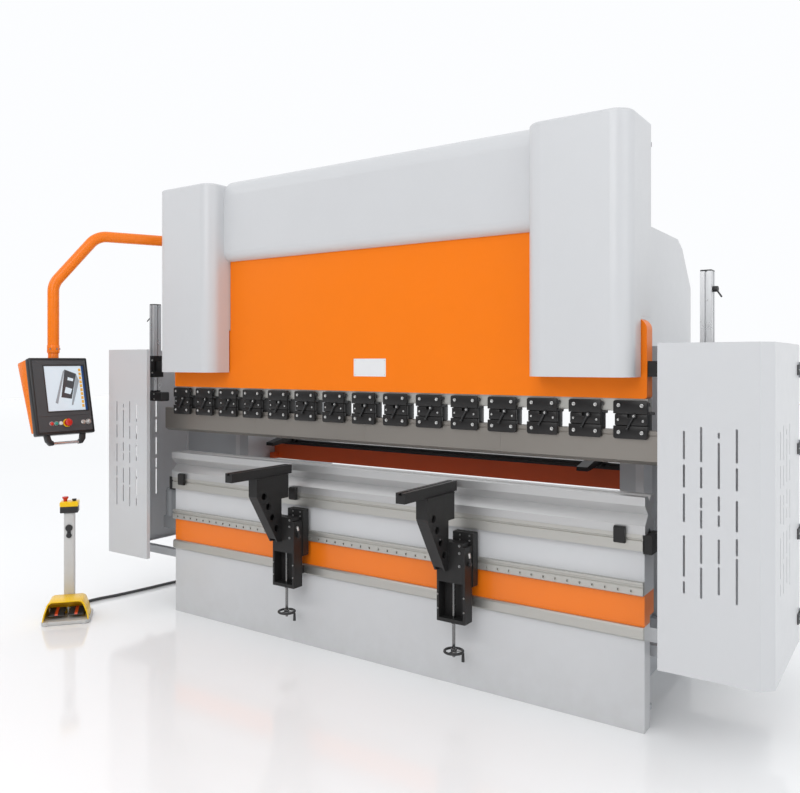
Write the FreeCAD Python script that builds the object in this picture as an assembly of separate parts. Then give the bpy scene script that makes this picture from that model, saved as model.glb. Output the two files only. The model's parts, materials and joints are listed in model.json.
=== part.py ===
"""Hydraulic press brake, built as separate named pieces in millimetres.

X runs along the bend line, Y runs back from it, Z is up. The origin lies on the floor
under the middle of the bend line. One STEP file is written for each named piece.
"""
import FreeCAD, Part
import math
import os

V = FreeCAD.Vector

# ---- driving sizes (mm) ---------------------------------------------------------------
WORKING_LENGTH = 3100.0        # bending length, the length of the lower beam
FRAME_INSET = 250.0            # from the bed end to the inner face of the side frame
BED_FRONT = -40.0              # front face of the lower beam
BED_LOWER_BACK = 40.0
BED_UPPER_BACK = 100.0
BED_STEP_Z = 504.0             # height where the lower beam gets thicker
BED_TOP = 812.0
GUIDE_BAR_Z = (416.0, 472.0)   # lower bar that the front supports lean on
GUIDE_BAR_FRONT = -62.0
RAIL_Z = (612.0, 672.0)        # upper rail that the front supports hang on
RAIL_FRONT = -65.0
RAIL_HOLE_PITCH = 60.0

HOLDER_HALF_DEPTH = 68.0       # die holder
HOLDER_TOP = 885.0
DIE_OVERHANG = 10.0            # die past each end of the bed
DIE_HALF_DEPTH = 65.0
DIE_HEIGHT = 165.0
DIE_SIDE_V = 44.0              # half opening of the large side grooves
DIE_TOP_V = 22.0               # half opening of the working groove
DIE_CLAMP_WIDTH = 50.0
DIE_CLAMP_MARGIN = 100.0       # from the bed end to the middle of the last clamp

RAM_OVERHANG = 10.0            # ram past each end of the bed
RAM_FRONT = -38.0
RAM_THICKNESS = 80.0
RAM_BOTTOM = 1483.0            # at the top of the stroke
RAM_END_TOP = 1841.0
RAM_MIDDLE_GAP = 5.0           # between the ram's tall middle and each hood
RAM_MIDDLE_TOP = 2640.0
RAM_CORNER = 50.0
RAM_STROKE = 145.0
GIB_HEIGHT = 165.0             # guides that the ram ends slide on

CLAMP_COUNT = 15
CLAMP_WIDTH = 155.0
CLAMP_PLATE = 20.0
CLAMP_Z = (1302.0, 1475.0)
CLAMP_END_MARGIN = 72.5
TANG_FRONT = -26.0             # plane where clamps, holder and punch meet
TANG_BACK = 34.0
CLAMP_HOLDER_BOTTOM = 1425.0
PUNCH_TOP = 1340.0
PUNCH_TIP = 1187.0
PUNCH_SEGMENT = 835.0          # standard length of one punch
PUNCH_OVERHANG = 110.0         # punch row past each end of the ram
PUNCH_GAP = 0.5

FRAME_PLATE = 80.0
FRAME_UPPER_FRONT = 130.0
FRAME_REAR = 1295.0
FRAME_TOP = 2335.0
THROAT_BACK = 377.0
THROAT_Z = (820.0, 1500.0)
SIDE_COVER_DEPTH = 40.0
SIDE_COVER_BOTTOM = 150.0
SHEET = 3.0                    # sheet metal thickness
TIE_Z = (1600.0, 1750.0)       # upper cross ties that carry the oil tank
TANK_Y = (250.0, 850.0)
TANK_HEIGHT = 480.0
TANK_END_GAP = 400.0           # from the tank to the frames
FOOT_MARGIN = (120.0, 195.0)

CYLINDER_INSET = 10.0          # cylinder axis inside the frame's inner face
CYLINDER_OUTER_R = 120.0
CYLINDER_Z = (2050.0, 2640.0)
PISTON_R = 80.0
RUNNING_FIT = 0.05
COVER_HALF_WIDTH = 245.0
COVER_Z = (1580.0, 2745.0)
COVER_FRONT = -210.0
COVER_BACK = 110.0
COVER_LOWER_BACK = -45.0
COVER_STEP_Z = 1850.0
COVER_CORNER = 85.0

FAIRING_FRONT = -88.0
FAIRING_Z = (2270.0, 2780.0)
FAIRING_LOWER_R = 60.0
FAIRING_UPPER_R = 105.0
FAIRING_BACK = 130.0

GUARD_FRONT = -194.0
GUARD_GAP = 90.0               # from the ram end to the guard
GUARD_WIDTH = 444.0
GUARD_CHAMFER = (45.0, 51.0)
GUARD_Z = (355.0, 1727.0)
GUARD_REAR = 525.0
GUARD_RETURN = 25.0
SLOT_WIDTH = 9.0
SLOT_PITCH = 68.0
HINGE_PIN_R = 5.0
HINGE_KNUCKLE_R = 9.0
HINGE_HEIGHTS = (470.0, 860.0, 1250.0, 1610.0)

LASER_REACH = 247.0            # from the ram end to the laser guard post
LASER_POST_WIDTH = 48.0
LASER_POST_DEPTH = 60.0
LASER_POST_TOP = 2040.0
LASER_BLOCK_Z = (1541.0, 1686.0)
LASER_HEAD_Z = (1379.0, 1441.0)

SUPPORT_X = {"left": -462.0, "right": 643.0}
SUPPORT_ARM_TOP = 1050.0
SUPPORT_ARM_Y = (-565.0, -92.0)
SUPPORT_ARM_SIZE = 50.0
SUPPORT_ARM_OFFSET = 43.0      # arm to the left of the column's middle
BRACKET_REACH = 200.0          # bracket in front of the column
BRACKET_HALF = 31.0
BRACKET_PLATE = 10.0
COLUMN_WIDTH = 160.0
COLUMN_WALL = 12.0
COLUMN_Y = (-185.0, -113.0)
COLUMN_Z = (363.0, 740.0)
NUT_Z = (560.0, 760.0)
SLIDE_GAP = 0.5                # between the nut block and the column
LIFT_DOWN = 120.0              # how far the arm can be lowered
CARRIAGE_PLATE_X = (-30.0, 86.0)
CARRIAGE_PLATE_Z = (535.0, 800.0)
SCREW_R = 8.0
SCREW_TOP = 710.0
HANDWHEEL_Z = 215.0
HANDWHEEL_R = 55.0
SPOKE_ANGLE = 23.0
LOCK_PLACE = (-150.0, 655.0)   # (y, z) of the clamping lever's axis

ARM_PIVOT_OUT = 140.0          # pivot outside the frame's inner face
ARM_PIVOT_Y = 550.0
ARM_RISE = 130.0               # arm's centre line above the frame
ARM_REACH = 1044.0             # horizontal run of the arm
ARM_DROP = 325.0               # height lost in the sloping run
ARM_SLOPE_REACH = 263.0
ARM_HEADING = 243.2            # degrees from +X
ARM_TUBE_R = 35.0
ARM_BEND_R = 130.0
ARM_BOTTOM = 1700.0

PANEL_WIDTH = 380.0
PANEL_HEIGHT = 488.0
PANEL_DEPTH = 50.0
PANEL_TILT = 13.0              # degrees, leaning back
PANEL_FACING = -5.0            # degrees from +X
PANEL_TOP = -22.0              # heights and depths from the arm's end, in the panel's own frame
PANEL_BACK = -10.0
WEDGE_DEPTH = (20.0, 100.0)    # rear of the wedge housing at its foot and at its top
WEDGE_INSET = 6.0
PANEL_WALL = 4.0
PANEL_DROP = 20.0              # arm's end above the panel's origin
SCREEN_X = (-100.0, 158.0)
SCREEN_Z = (-362.0, -75.0)
SCREEN_RECESS = 10.0
CONTROL_ROW = -440.0
BUTTON_X = {"red": -91.0, "green": -61.0, "white": -32.0}
BUTTON_R = 11.0
STOP_X = 8.0
STOP_R = 17.0
SELECTOR_X = 150.0
SELECTOR_R = 14.0
BORE_GAP = 0.3                 # round each button's shank
GRIP_X = 115.0                 # feet of the grab handle

GAUGE_Y = (640.0, 700.0)
GAUGE_TOP = 1080.0
GAUGE_HEIGHT = 120.0
GAUGE_END_GAP = 1.0
FINGER_MARGIN = {"left": 150.0, "right": 220.0}   # from the frames' inner faces

STATION_FRONT = (-1880.0, -631.0)
STATION_FACING = -40.3         # degrees from +X
STATION_WIDTH = 285.0
STATION_DEPTH = 250.0
HOOD_BACK = 180.0
STATION_BASE = 25.0
HOOD_HEIGHT = 120.0
POST_SIZE = 64.0
POST_TOP = 669.0
STATION_BOX = (112.0, 90.0, 72.0)

CABLE_DIAMETER = 20.0
CABLE_Z = CABLE_DIAMETER / 2 + 0.5
CABLE_LEAD = 60.0              # straight run out of the foot station's gland
CABLE_INLET_Y = 800.0
GLAND_HALF = 18.0
STATION_GLAND = 24.0
INLET_GLAND = 60.0
CABLE_ROUTE = [
    (-2157, -340), (-2171, -261), (-2158, -177), (-2128, -81), (-2108, 30), (-2087, 150),
    (-2072, 270), (-2055, 390), (-2030, 500), (-1978, 606), (-1888, 684), (-1770, 738),
    (-1645, 776), (-1535, 800),
]

CABINET_DEPTH = 420.0
CABINET_WIDTH = 650.0
CABINET_REAR_GAP = 45.0        # to the frame's rear edge
CABINET_Z = (400.0, 1690.0)

# ---- derived sizes --------------------------------------------------------------------
BED_LENGTH = WORKING_LENGTH
HALF_BED = BED_LENGTH / 2
HALF_DIE = HALF_BED + DIE_OVERHANG
HALF_RAM = HALF_BED + RAM_OVERHANG
RAM_BACK = RAM_FRONT + RAM_THICKNESS
RAM_AXIS_Y = RAM_FRONT + RAM_THICKNESS / 2
FRAME_INNER = HALF_BED - FRAME_INSET
FRAME_OUTER = FRAME_INNER + FRAME_PLATE
COVER_OUTER = FRAME_OUTER + SIDE_COVER_DEPTH
CYLINDER_X = FRAME_INNER - CYLINDER_INSET
COVER_X = (CYLINDER_X - COVER_HALF_WIDTH, CYLINDER_X + COVER_HALF_WIDTH)
HALF_MIDDLE = COVER_X[0] - RAM_MIDDLE_GAP
CLAMP_PITCH = 2 * (HALF_RAM - CLAMP_END_MARGIN) / (CLAMP_COUNT - 1)
PUNCH_SEGMENTS = round(2 * (HALF_RAM + PUNCH_OVERHANG) / PUNCH_SEGMENT)
DIE_TOP = HOLDER_TOP + DIE_HEIGHT
LASER_X = HALF_RAM + LASER_REACH
GUARD_INNER_X = HALF_RAM + GUARD_GAP
GUARD_OUTER_X = GUARD_INNER_X + GUARD_WIDTH
HINGE_X = GUARD_OUTER_X + HINGE_KNUCKLE_R
HINGE_Y = GUARD_REAR + 5.0
SCREW_Y = (COLUMN_Y[0] + COLUMN_Y[1] - COLUMN_WALL) / 2
ARM_PIVOT = (-FRAME_INNER - ARM_PIVOT_OUT, ARM_PIVOT_Y)
ARM_LEVEL = FRAME_TOP + ARM_RISE
PANEL_FACE = PANEL_BACK - PANEL_DEPTH
PANEL_BOTTOM = PANEL_TOP - PANEL_HEIGHT
POST_Y = HOOD_BACK + POST_SIZE / 2 + 2      # middle of the foot station's post
STATION_TOP = POST_TOP + STATION_BOX[2]
CABINET_X = (COVER_OUTER, COVER_OUTER + CABINET_DEPTH)
CABINET_Y = (FRAME_REAR - CABINET_REAR_GAP - CABINET_WIDTH, FRAME_REAR - CABINET_REAR_GAP)


# ---- helpers --------------------------------------------------------------------------
def box(x0, x1, y0, y1, z0, z1):
    """Block between two corners."""
    return Part.makeBox(x1 - x0, y1 - y0, z1 - z0, V(x0, y0, z0))


def rod(x, y, z, radius, height, axis=(0, 0, 1)):
    """Cylinder from a point along an axis."""
    return Part.makeCylinder(radius, height, V(x, y, z), V(*axis))


def prism_x(points, x0, x1):
    """Polygon of (y, z) points drawn out along X."""
    wire = Part.makePolygon([V(x0, y, z) for y, z in points + points[:1]])
    return Part.Face(wire).extrude(V(x1 - x0, 0, 0))


def prism_y(points, y0, y1):
    """Polygon of (x, z) points drawn out along Y."""
    wire = Part.makePolygon([V(x, y0, z) for x, z in points + points[:1]])
    return Part.Face(wire).extrude(V(0, y1 - y0, 0))


def prism_z(points, z0, z1, inset=0.0):
    """Polygon of (x, y) points drawn out along Z, pulled in by an inset."""
    wire = Part.makePolygon([V(x, y, z0) for x, y in points + points[:1]])
    if inset:
        wire = wire.makeOffset2D(-inset)
    return Part.Face(wire).extrude(V(0, 0, z1 - z0))


def fuse(shapes):
    """One solid from shapes that meet."""
    return shapes[0].multiFuse(shapes[1:]).removeSplitter()


def group(shapes):
    """Separate solids kept in one piece of the list."""
    return Part.makeCompound(shapes)


def mirrored(shape):
    """Copy of a right-hand piece for the left side."""
    return shape.mirror(V(0, 0, 0), V(1, 0, 0))


def both_sides(shape):
    """Right-hand piece and its mirror image."""
    return group([shape, mirrored(shape)])


def fillet_where(shape, radius, test):
    """Round the edges that a test picks by their middle point."""
    edges = [e for e in shape.Edges if test(e)]
    return shape.makeFillet(radius, edges)


def is_vertical(edge):
    """True for a straight edge along Z."""
    ends = [v.Point for v in edge.Vertexes]
    if len(ends) < 2:
        return False
    return abs(ends[0].x - ends[1].x) < 0.01 and abs(ends[0].y - ends[1].y) < 0.01


def tube_along(points, radius, bends, name):
    """Round bar along straight runs joined by tangent arcs; prints radii and volume."""
    edges = []
    start = V(*points[0])
    for i in range(1, len(points) - 1):
        corner = V(*points[i])
        before = V(*points[i - 1]) - corner
        after = V(*points[i + 1]) - corner
        turn = math.pi - before.getAngle(after)
        if bends is None:
            bend = 0.45 * min(before.Length, after.Length) / math.tan(turn / 2)
        else:
            bend = bends
        setback = bend * math.tan(turn / 2)
        unit_in = before.normalize()
        unit_out = after.normalize()
        arc_in = corner + unit_in * setback
        arc_out = corner + unit_out * setback
        half = (unit_in + unit_out).normalize()
        middle = corner + half * (bend / math.cos(turn / 2) - bend)
        edges.append(Part.LineSegment(start, arc_in).toShape())
        edges.append(Part.Arc(arc_in, middle, arc_out).toShape())
        print(name, "bend radius", round(bend))
        start = arc_out
    edges.append(Part.LineSegment(start, V(*points[-1])).toShape())
    path = Part.Wire(edges)
    circle = Part.makeCircle(radius, V(*points[0]), V(*points[1]) - V(*points[0]))
    solid = path.makePipeShell([Part.Wire([circle])], True, False)
    section = math.pi * radius ** 2
    print(name, "length", round(path.Length), "volume ratio", round(solid.Volume / section / path.Length, 4))
    return solid


def put(name, shape):
    """Write one piece to its STEP file."""
    shape.exportStep("parts/" + name + ".step")


# ---- side frames and covers -----------------------------------------------------------
def frame_outline(bottom, lower_front):
    """(y, z) outline of a C-shaped side plate with its throat."""
    return [
        (lower_front, bottom), (lower_front, BED_STEP_Z), (BED_UPPER_BACK, BED_STEP_Z),
        (BED_UPPER_BACK, THROAT_Z[0]), (THROAT_BACK - 60, THROAT_Z[0]),
        (THROAT_BACK, THROAT_Z[0] + 60), (THROAT_BACK, THROAT_Z[1] - 60),
        (THROAT_BACK - 60, THROAT_Z[1]), (FRAME_UPPER_FRONT, THROAT_Z[1]),
        (FRAME_UPPER_FRONT, FRAME_TOP), (FRAME_REAR - 285, FRAME_TOP),
        (FRAME_REAR - 185, FRAME_TOP - 45), (FRAME_REAR - 4, FRAME_TOP - 252),
        (FRAME_REAR, FRAME_TOP - 290), (FRAME_REAR, bottom),
    ]


def side_frames():
    """C plates, cross ties between them and anchor feet."""
    plate = prism_x(frame_outline(0.0, BED_LOWER_BACK), FRAME_INNER, FRAME_OUTER)
    solids = [plate, mirrored(plate)]
    for y0, z0, z1 in ((TANK_Y[0], *TIE_Z), (TANK_Y[1] - 80, *TIE_Z), (FRAME_REAR - 135, 60.0, 360.0)):
        solids.append(box(-FRAME_INNER, FRAME_INNER, y0, y0 + 80, z0, z1))
    for y0 in (FOOT_MARGIN[0], FRAME_REAR - FOOT_MARGIN[1]):
        foot = box(FRAME_OUTER, FRAME_OUTER + 120, y0, y0 + 120, 0, 25)
        foot = foot.cut(rod(FRAME_OUTER + 65, y0 + 60, -1, 13, 27))
        solids += [foot, mirrored(foot)]
    return group(solids)


def side_covers():
    """Painted sheet pans on the outer faces of the side frames."""
    outline = frame_outline(SIDE_COVER_BOTTOM, BED_UPPER_BACK)
    outline = [outline[0]] + outline[3:]
    pan = prism_x(outline, FRAME_OUTER, COVER_OUTER)
    pan = fillet_where(pan, 40, lambda e: abs(e.BoundBox.YMin - FRAME_REAR + 185) < 1 and e.Length < 41)
    wire = Part.makePolygon([V(FRAME_OUTER, y, z) for y, z in outline + outline[:1]])
    inside = Part.Face(wire.makeOffset2D(-SHEET)).extrude(V(SIDE_COVER_DEPTH - SHEET, 0, 0))
    return both_sides(pan.cut(inside))


def ram_guides():
    """Gibs on the frame fronts that the ram slides on."""
    top = RAM_END_TOP - RAM_STROKE - 11
    gib = box(FRAME_INNER, FRAME_OUTER, RAM_BACK, FRAME_UPPER_FRONT, top - GIB_HEIGHT, top)
    return both_sides(gib)


# ---- bed ------------------------------------------------------------------------------
def bed_beam():
    """Lower beam standing on the floor."""
    return prism_x([
        (BED_FRONT, 0.0), (BED_FRONT, BED_TOP), (BED_UPPER_BACK, BED_TOP),
        (BED_UPPER_BACK, BED_STEP_Z), (BED_LOWER_BACK, BED_STEP_Z), (BED_LOWER_BACK, 0.0),
    ], -HALF_BED, HALF_BED)


def support_rails():
    """Bored rail and plain guide bar on the front of the bed."""
    low, high = RAIL_Z
    rail = prism_x([
        (BED_FRONT, low), (RAIL_FRONT + 4, low), (RAIL_FRONT, low + 4),
        (RAIL_FRONT, high - 26), (RAIL_FRONT + 7, high - 20), (RAIL_FRONT + 7, high - 14),
        (RAIL_FRONT, high - 10), (RAIL_FRONT, high), (BED_FRONT, high),
    ], -HALF_BED, HALF_BED)
    count = int(BED_LENGTH / RAIL_HOLE_PITCH)
    first = -(count - 1) * RAIL_HOLE_PITCH / 2
    holes = [rod(first + i * RAIL_HOLE_PITCH, RAIL_FRONT - 1, low + 18, 6.5, 12, (0, 1, 0))
             for i in range(count)]
    rail = rail.cut(group(holes))
    low, high = GUIDE_BAR_Z
    bar = prism_x([
        (BED_FRONT, low), (GUIDE_BAR_FRONT + 8, low), (GUIDE_BAR_FRONT, low + 8),
        (GUIDE_BAR_FRONT, high - 8), (GUIDE_BAR_FRONT + 8, high), (BED_FRONT, high),
    ], -HALF_BED, HALF_BED)
    return group([rail, bar])


def die_holder():
    """Machined bar that carries the die."""
    depth = HOLDER_HALF_DEPTH
    return prism_x([
        (-depth, BED_TOP), (-depth, BED_TOP + 44), (-depth + 6, BED_TOP + 48),
        (-depth + 6, BED_TOP + 52), (-depth, BED_TOP + 56), (-depth, HOLDER_TOP),
        (depth, HOLDER_TOP), (depth, BED_TOP),
    ], -HALF_BED, HALF_BED)


def die_block():
    """Four-way die with two large and two small grooves."""
    y, v, t = DIE_HALF_DEPTH, DIE_SIDE_V, DIE_TOP_V
    low, top = HOLDER_TOP, DIE_TOP
    mid = (low + top) / 2
    return prism_x([
        (-y, low), (-y, mid - v), (-y + v, mid), (-y, mid + v), (-y, top),
        (-t, top), (0, top - t), (t, top),
        (y, top), (y, mid + v), (y - v, mid), (y, mid - v), (y, low),
        (t, low), (0, low + t), (-t, low),
    ], -HALF_DIE, HALF_DIE)


def die_clamps():
    """Black clamps on the die holder front and end brackets on the bed."""
    solids = []
    front = -HOLDER_HALF_DEPTH
    half = DIE_CLAMP_WIDTH / 2
    last = HALF_BED - DIE_CLAMP_MARGIN
    for x in (-last, -last / 3, last / 3, last):
        clamp = prism_x([
            (front, HOLDER_TOP - 43), (front - 14, HOLDER_TOP - 43), (front - 20, HOLDER_TOP - 36),
            (front - 20, HOLDER_TOP + 24), (front - 12, HOLDER_TOP + 31), (front, HOLDER_TOP + 31),
        ], x - half, x + half)
        solids.append(clamp)
    bracket = box(HALF_BED, HALF_BED + 38, -60, 60, BED_TOP - 12, HOLDER_TOP)
    return group(solids + [bracket, mirrored(bracket)])


def crowning_drive():
    """Geared motor that sets the bed's crown, on the left bed end."""
    x = -HALF_BED
    block = box(x - 130, x, -32, 40, 531, 612)
    motor = rod(x - 90, 4, 612, 40, 170)
    cap = rod(x - 90, 4, 782, 34, 14)
    housing = box(x - 48, x, -34, 50, 612, BED_TOP - 14)
    return group([block, fuse([motor, cap]), housing])


# ---- hydraulics -----------------------------------------------------------------------
def hydraulic_cylinders():
    """Cylinders bolted to the frame fronts, with the plates that carry their covers."""
    low, high = CYLINDER_Z
    y = RAM_AXIS_Y
    barrel = rod(CYLINDER_X, y, low, CYLINDER_OUTER_R, high - low)
    flange = box(CYLINDER_X - 150, CYLINDER_X + 150, y - 130, FRAME_UPPER_FRONT, low, low + 60)
    plate = box(COVER_X[0] + SHEET, COVER_X[1] - SHEET, -100, FRAME_UPPER_FRONT, high, high + 20)
    solid = fuse([barrel, flange, plate])
    return both_sides(solid.cut(rod(CYLINDER_X, y, low - 1, PISTON_R + RUNNING_FIT, high - low - 39)))


def piston_rods():
    """Piston rods standing on the ram ends."""
    y = RAM_AXIS_Y
    foot = rod(CYLINDER_X, y, RAM_END_TOP, PISTON_R + 30, 30)
    shaft = rod(CYLINDER_X, y, RAM_END_TOP, PISTON_R, CYLINDER_Z[1] - 80 - RAM_END_TOP)
    return both_sides(fuse([foot, shaft]))


def oil_tank():
    """Oil tank on the upper cross ties, with a filler neck."""
    half = FRAME_INNER - TANK_END_GAP
    top = TIE_Z[1] + TANK_HEIGHT
    tank = fillet_where(box(-half, half, *TANK_Y, TIE_Z[1], top), 20, is_vertical)
    return fuse([tank, rod(half - 280, TANK_Y[1] - 150, top, 45, 60)])


def pump_unit():
    """Electric motor on the tank, valve blocks and pressure pipes."""
    top = TIE_Z[1] + TANK_HEIGHT
    middle = (TANK_Y[0] + TANK_Y[1]) / 2
    motor = fuse([rod(-300, middle, top, 130, 300), rod(-300, middle, top + 300, 105, 40),
                  rod(-300, middle, top, 150, 18)])
    solids = [motor]
    pipe_y = FRAME_UPPER_FRONT + 70
    port_z = CYLINDER_Z[1] + 50
    for side in (-1, 1):
        x = side * (COVER_X[0] - 265)
        riser = side * (COVER_X[0] - 45)
        block = box(x - 60, x + 60, TANK_Y[0] + 50, TANK_Y[0] + 170, top, top + 120)
        pipe = tube_along([
            (x, TANK_Y[0] + 50, top + 70), (x, pipe_y, top + 70), (riser, pipe_y, top + 70),
            (riser, pipe_y, port_z), (riser, FAIRING_BACK + 20, port_z),
        ], 14.0, 40.0, "pressure pipe")
        solids += [block, pipe]
    return group(solids)


# ---- front covers ---------------------------------------------------------------------
def cylinder_cover():
    """Sheet hood over the right-hand cylinder, open at the back."""
    x0, x1 = COVER_X
    outline = [(x0, COVER_FRONT), (x1, COVER_FRONT), (x1, COVER_BACK), (x0, COVER_BACK)]

    def hood(inset, low, high, back):
        raw = box(x0 + inset, x1 - inset, COVER_FRONT + inset, back, low, high)
        front = COVER_FRONT + inset
        return fillet_where(raw, COVER_CORNER - inset,
                            lambda e: is_vertical(e) and abs(e.BoundBox.YMin - front) < 0.1)

    outer = hood(0.0, COVER_Z[0], COVER_Z[1], outline[2][1])
    outer = fillet_where(outer, 12, lambda e: e.BoundBox.ZMin > COVER_Z[1] - 0.1
                         and e.BoundBox.YMax < COVER_BACK - 0.1)
    outer = outer.cut(box(x0 - 1, x1 + 1, COVER_LOWER_BACK, COVER_BACK + 1,
                          COVER_Z[0] - 1, COVER_STEP_Z))
    inner = hood(SHEET, COVER_Z[0] + SHEET, COVER_Z[1] - SHEET, COVER_BACK + 1)
    inner = fillet_where(inner, 12 - SHEET, lambda e: e.BoundBox.ZMin > COVER_Z[1] - SHEET - 0.1
                         and e.BoundBox.YMax < COVER_BACK - 0.1)
    return outer.cut(inner)


def top_fairing():
    """Rolled sheet between the two hoods, in front of the ram's head."""
    front, lower_r, upper_r = FAIRING_FRONT, FAIRING_LOWER_R, FAIRING_UPPER_R
    low, high = FAIRING_Z
    lip = RAM_FRONT - SHEET

    def profile(inset):
        f = front + inset
        bend = lower_r - inset
        a = V(0, lip, low + inset)
        b_mid = V(0, f + bend * (1 - math.cos(math.pi / 4)), low + lower_r - bend * math.sin(math.pi / 4))
        b = V(0, f, low + lower_r)
        c = V(0, f, high - upper_r)
        roll = upper_r - inset
        d_mid = V(0, f + roll * (1 - math.cos(math.pi / 4)), high - upper_r + roll * math.sin(math.pi / 4))
        d = V(0, f + roll, high - inset)
        e = V(0, FAIRING_BACK, high - inset)
        curve = [Part.Arc(V(0, f + bend, low + inset), b_mid, b).toShape(),
                 Part.LineSegment(b, c).toShape(), Part.Arc(c, d_mid, d).toShape(),
                 Part.LineSegment(d, e).toShape()]
        if f + bend < lip:
            curve.insert(0, Part.LineSegment(a, V(0, f + bend, low + inset)).toShape())
        return curve, curve[0].Vertexes[0].Point, e

    outer, outer_start, outer_end = profile(0.0)
    inner, inner_start, inner_end = profile(SHEET)
    closing = [Part.LineSegment(outer_end, inner_end).toShape(),
               Part.LineSegment(inner_start, outer_start).toShape()]
    ring = Part.Wire(Part.__sortEdges__(outer + inner + closing))
    half = COVER_X[0]
    sheet = Part.Face(ring).extrude(V(2 * half, 0, 0))
    sheet.translate(V(-half, 0, 0))
    return sheet.cut(box(-half - 1, half + 1, lip, RAM_BACK, low - 1, low + lower_r))


# ---- ram and tooling ------------------------------------------------------------------
def ram_beam():
    """Upper beam: low ends under the cylinders and a tall middle."""
    ends = box(-HALF_RAM, HALF_RAM, RAM_FRONT, RAM_BACK, RAM_BOTTOM, RAM_END_TOP)
    middle = box(-HALF_MIDDLE, HALF_MIDDLE, RAM_FRONT, RAM_BACK, RAM_BOTTOM, RAM_MIDDLE_TOP)
    beam = fuse([ends, middle])

    def corner(edge):
        box_ = edge.BoundBox
        return abs(abs(box_.XMin) - HALF_RAM) < 0.1 and box_.ZMin > RAM_END_TOP - 0.1 and box_.XLength < 0.1

    beam = fillet_where(beam, RAM_CORNER, corner)
    lower = [e for e in beam.Edges if abs(abs(e.BoundBox.XMin) - HALF_RAM) < 0.1
             and e.BoundBox.ZMax < RAM_BOTTOM + 0.1 and e.BoundBox.XLength < 0.1]
    return beam.makeFillet(12, lower)


def clamp_holder():
    """Bar under the ram that the tool clamps are screwed to."""
    return box(-HALF_RAM, HALF_RAM, TANG_FRONT, TANG_BACK, CLAMP_HOLDER_BOTTOM, RAM_BOTTOM)


def clamp_centres():
    """X places of the tool clamps."""
    return [(i - (CLAMP_COUNT - 1) / 2) * CLAMP_PITCH for i in range(CLAMP_COUNT)]


def tool_clamps():
    """Clamps: a body under the holder and a front plate that grips the punch."""
    half = CLAMP_WIDTH / 2
    low, high = CLAMP_Z
    face = TANG_FRONT - CLAMP_PLATE
    plate = prism_y([
        (-half, low + 8), (-half + 8, low), (-14, low), (-10, low + 12), (10, low + 12), (14, low),
        (half - 8, low), (half, low + 8), (half, high - 8), (half - 8, high),
        (-half + 8, high), (-half, high - 8),
    ], face, TANG_FRONT)
    waist = (low + high) / 2
    plate = plate.cut(box(-half, half, face - 1, face + 5, waist - 3, waist + 3))
    body = box(-half + 4, half - 4, TANG_FRONT, TANG_BACK, PUNCH_TOP, CLAMP_HOLDER_BOTTOM)
    clamp = fuse([plate, body])
    solids = []
    for x in clamp_centres():
        copy = clamp.copy()
        copy.translate(V(x, 0, 0))
        solids.append(copy)
    return group(solids)


def clamp_fittings():
    """Socket screws and quick levers on the tool clamps."""
    low, high = CLAMP_Z
    face = TANG_FRONT - CLAMP_PLATE
    solids = []
    for x in clamp_centres():
        for dx in (-45.0, 45.0):
            for z in (low + 38, high - 38):
                screw = rod(x + dx, face - 5, z, 9, 5, (0, 1, 0))
                solids.append(screw.cut(rod(x + dx, face - 6, z, 4.5, 4, (0, 1, 0))))
        hub = rod(x + 6, face - 12, 1388, 13, 12, (0, 1, 0))
        lever = rod(x + 6, face - 6, 1388, 5, 95, (1, 0, 0.12))
        solids.append(fuse([hub, lever]))
    return group(solids)


def punches():
    """Straight punch in equal lengths."""
    profile = [
        (TANG_FRONT, PUNCH_TOP), (TANG_FRONT, PUNCH_TOP - 18), (TANG_FRONT + 2, PUNCH_TOP - 20),
        (TANG_FRONT + 2, PUNCH_TOP - 22), (TANG_FRONT, PUNCH_TOP - 24),
        (TANG_FRONT, PUNCH_TIP + 18), (-1.5, PUNCH_TIP), (1.5, PUNCH_TIP),
        (14, PUNCH_TIP + 63), (14, PUNCH_TOP - 30), (22, PUNCH_TOP - 20), (22, PUNCH_TOP),
    ]
    start = -PUNCH_SEGMENTS * PUNCH_SEGMENT / 2
    solids = []
    for i in range(PUNCH_SEGMENTS):
        x0 = start + i * PUNCH_SEGMENT + PUNCH_GAP / 2
        solids.append(prism_x(profile, x0, x0 + PUNCH_SEGMENT - PUNCH_GAP))
    return group(solids)


# ---- laser guard on the ram ends ------------------------------------------------------
def laser_brackets():
    """Brackets on the ram ends with the blocks that hold the laser posts."""
    low, high = LASER_BLOCK_Z
    gap = SLIDE_GAP
    half_x, half_y = LASER_POST_WIDTH / 2, LASER_POST_DEPTH / 2
    block = box(LASER_X - half_x - 10, LASER_X + half_x + 10, -half_y - 10, half_y + 10, low, high)
    arm = box(HALF_RAM, LASER_X - half_x - 10, -26, 26, low + 40, high - 35)
    solid = fuse([block, arm])
    bore = box(LASER_X - half_x - gap, LASER_X + half_x + gap, -half_y - gap, half_y + gap,
               low - 1, high + 1)
    return both_sides(solid.cut(bore))


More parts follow.
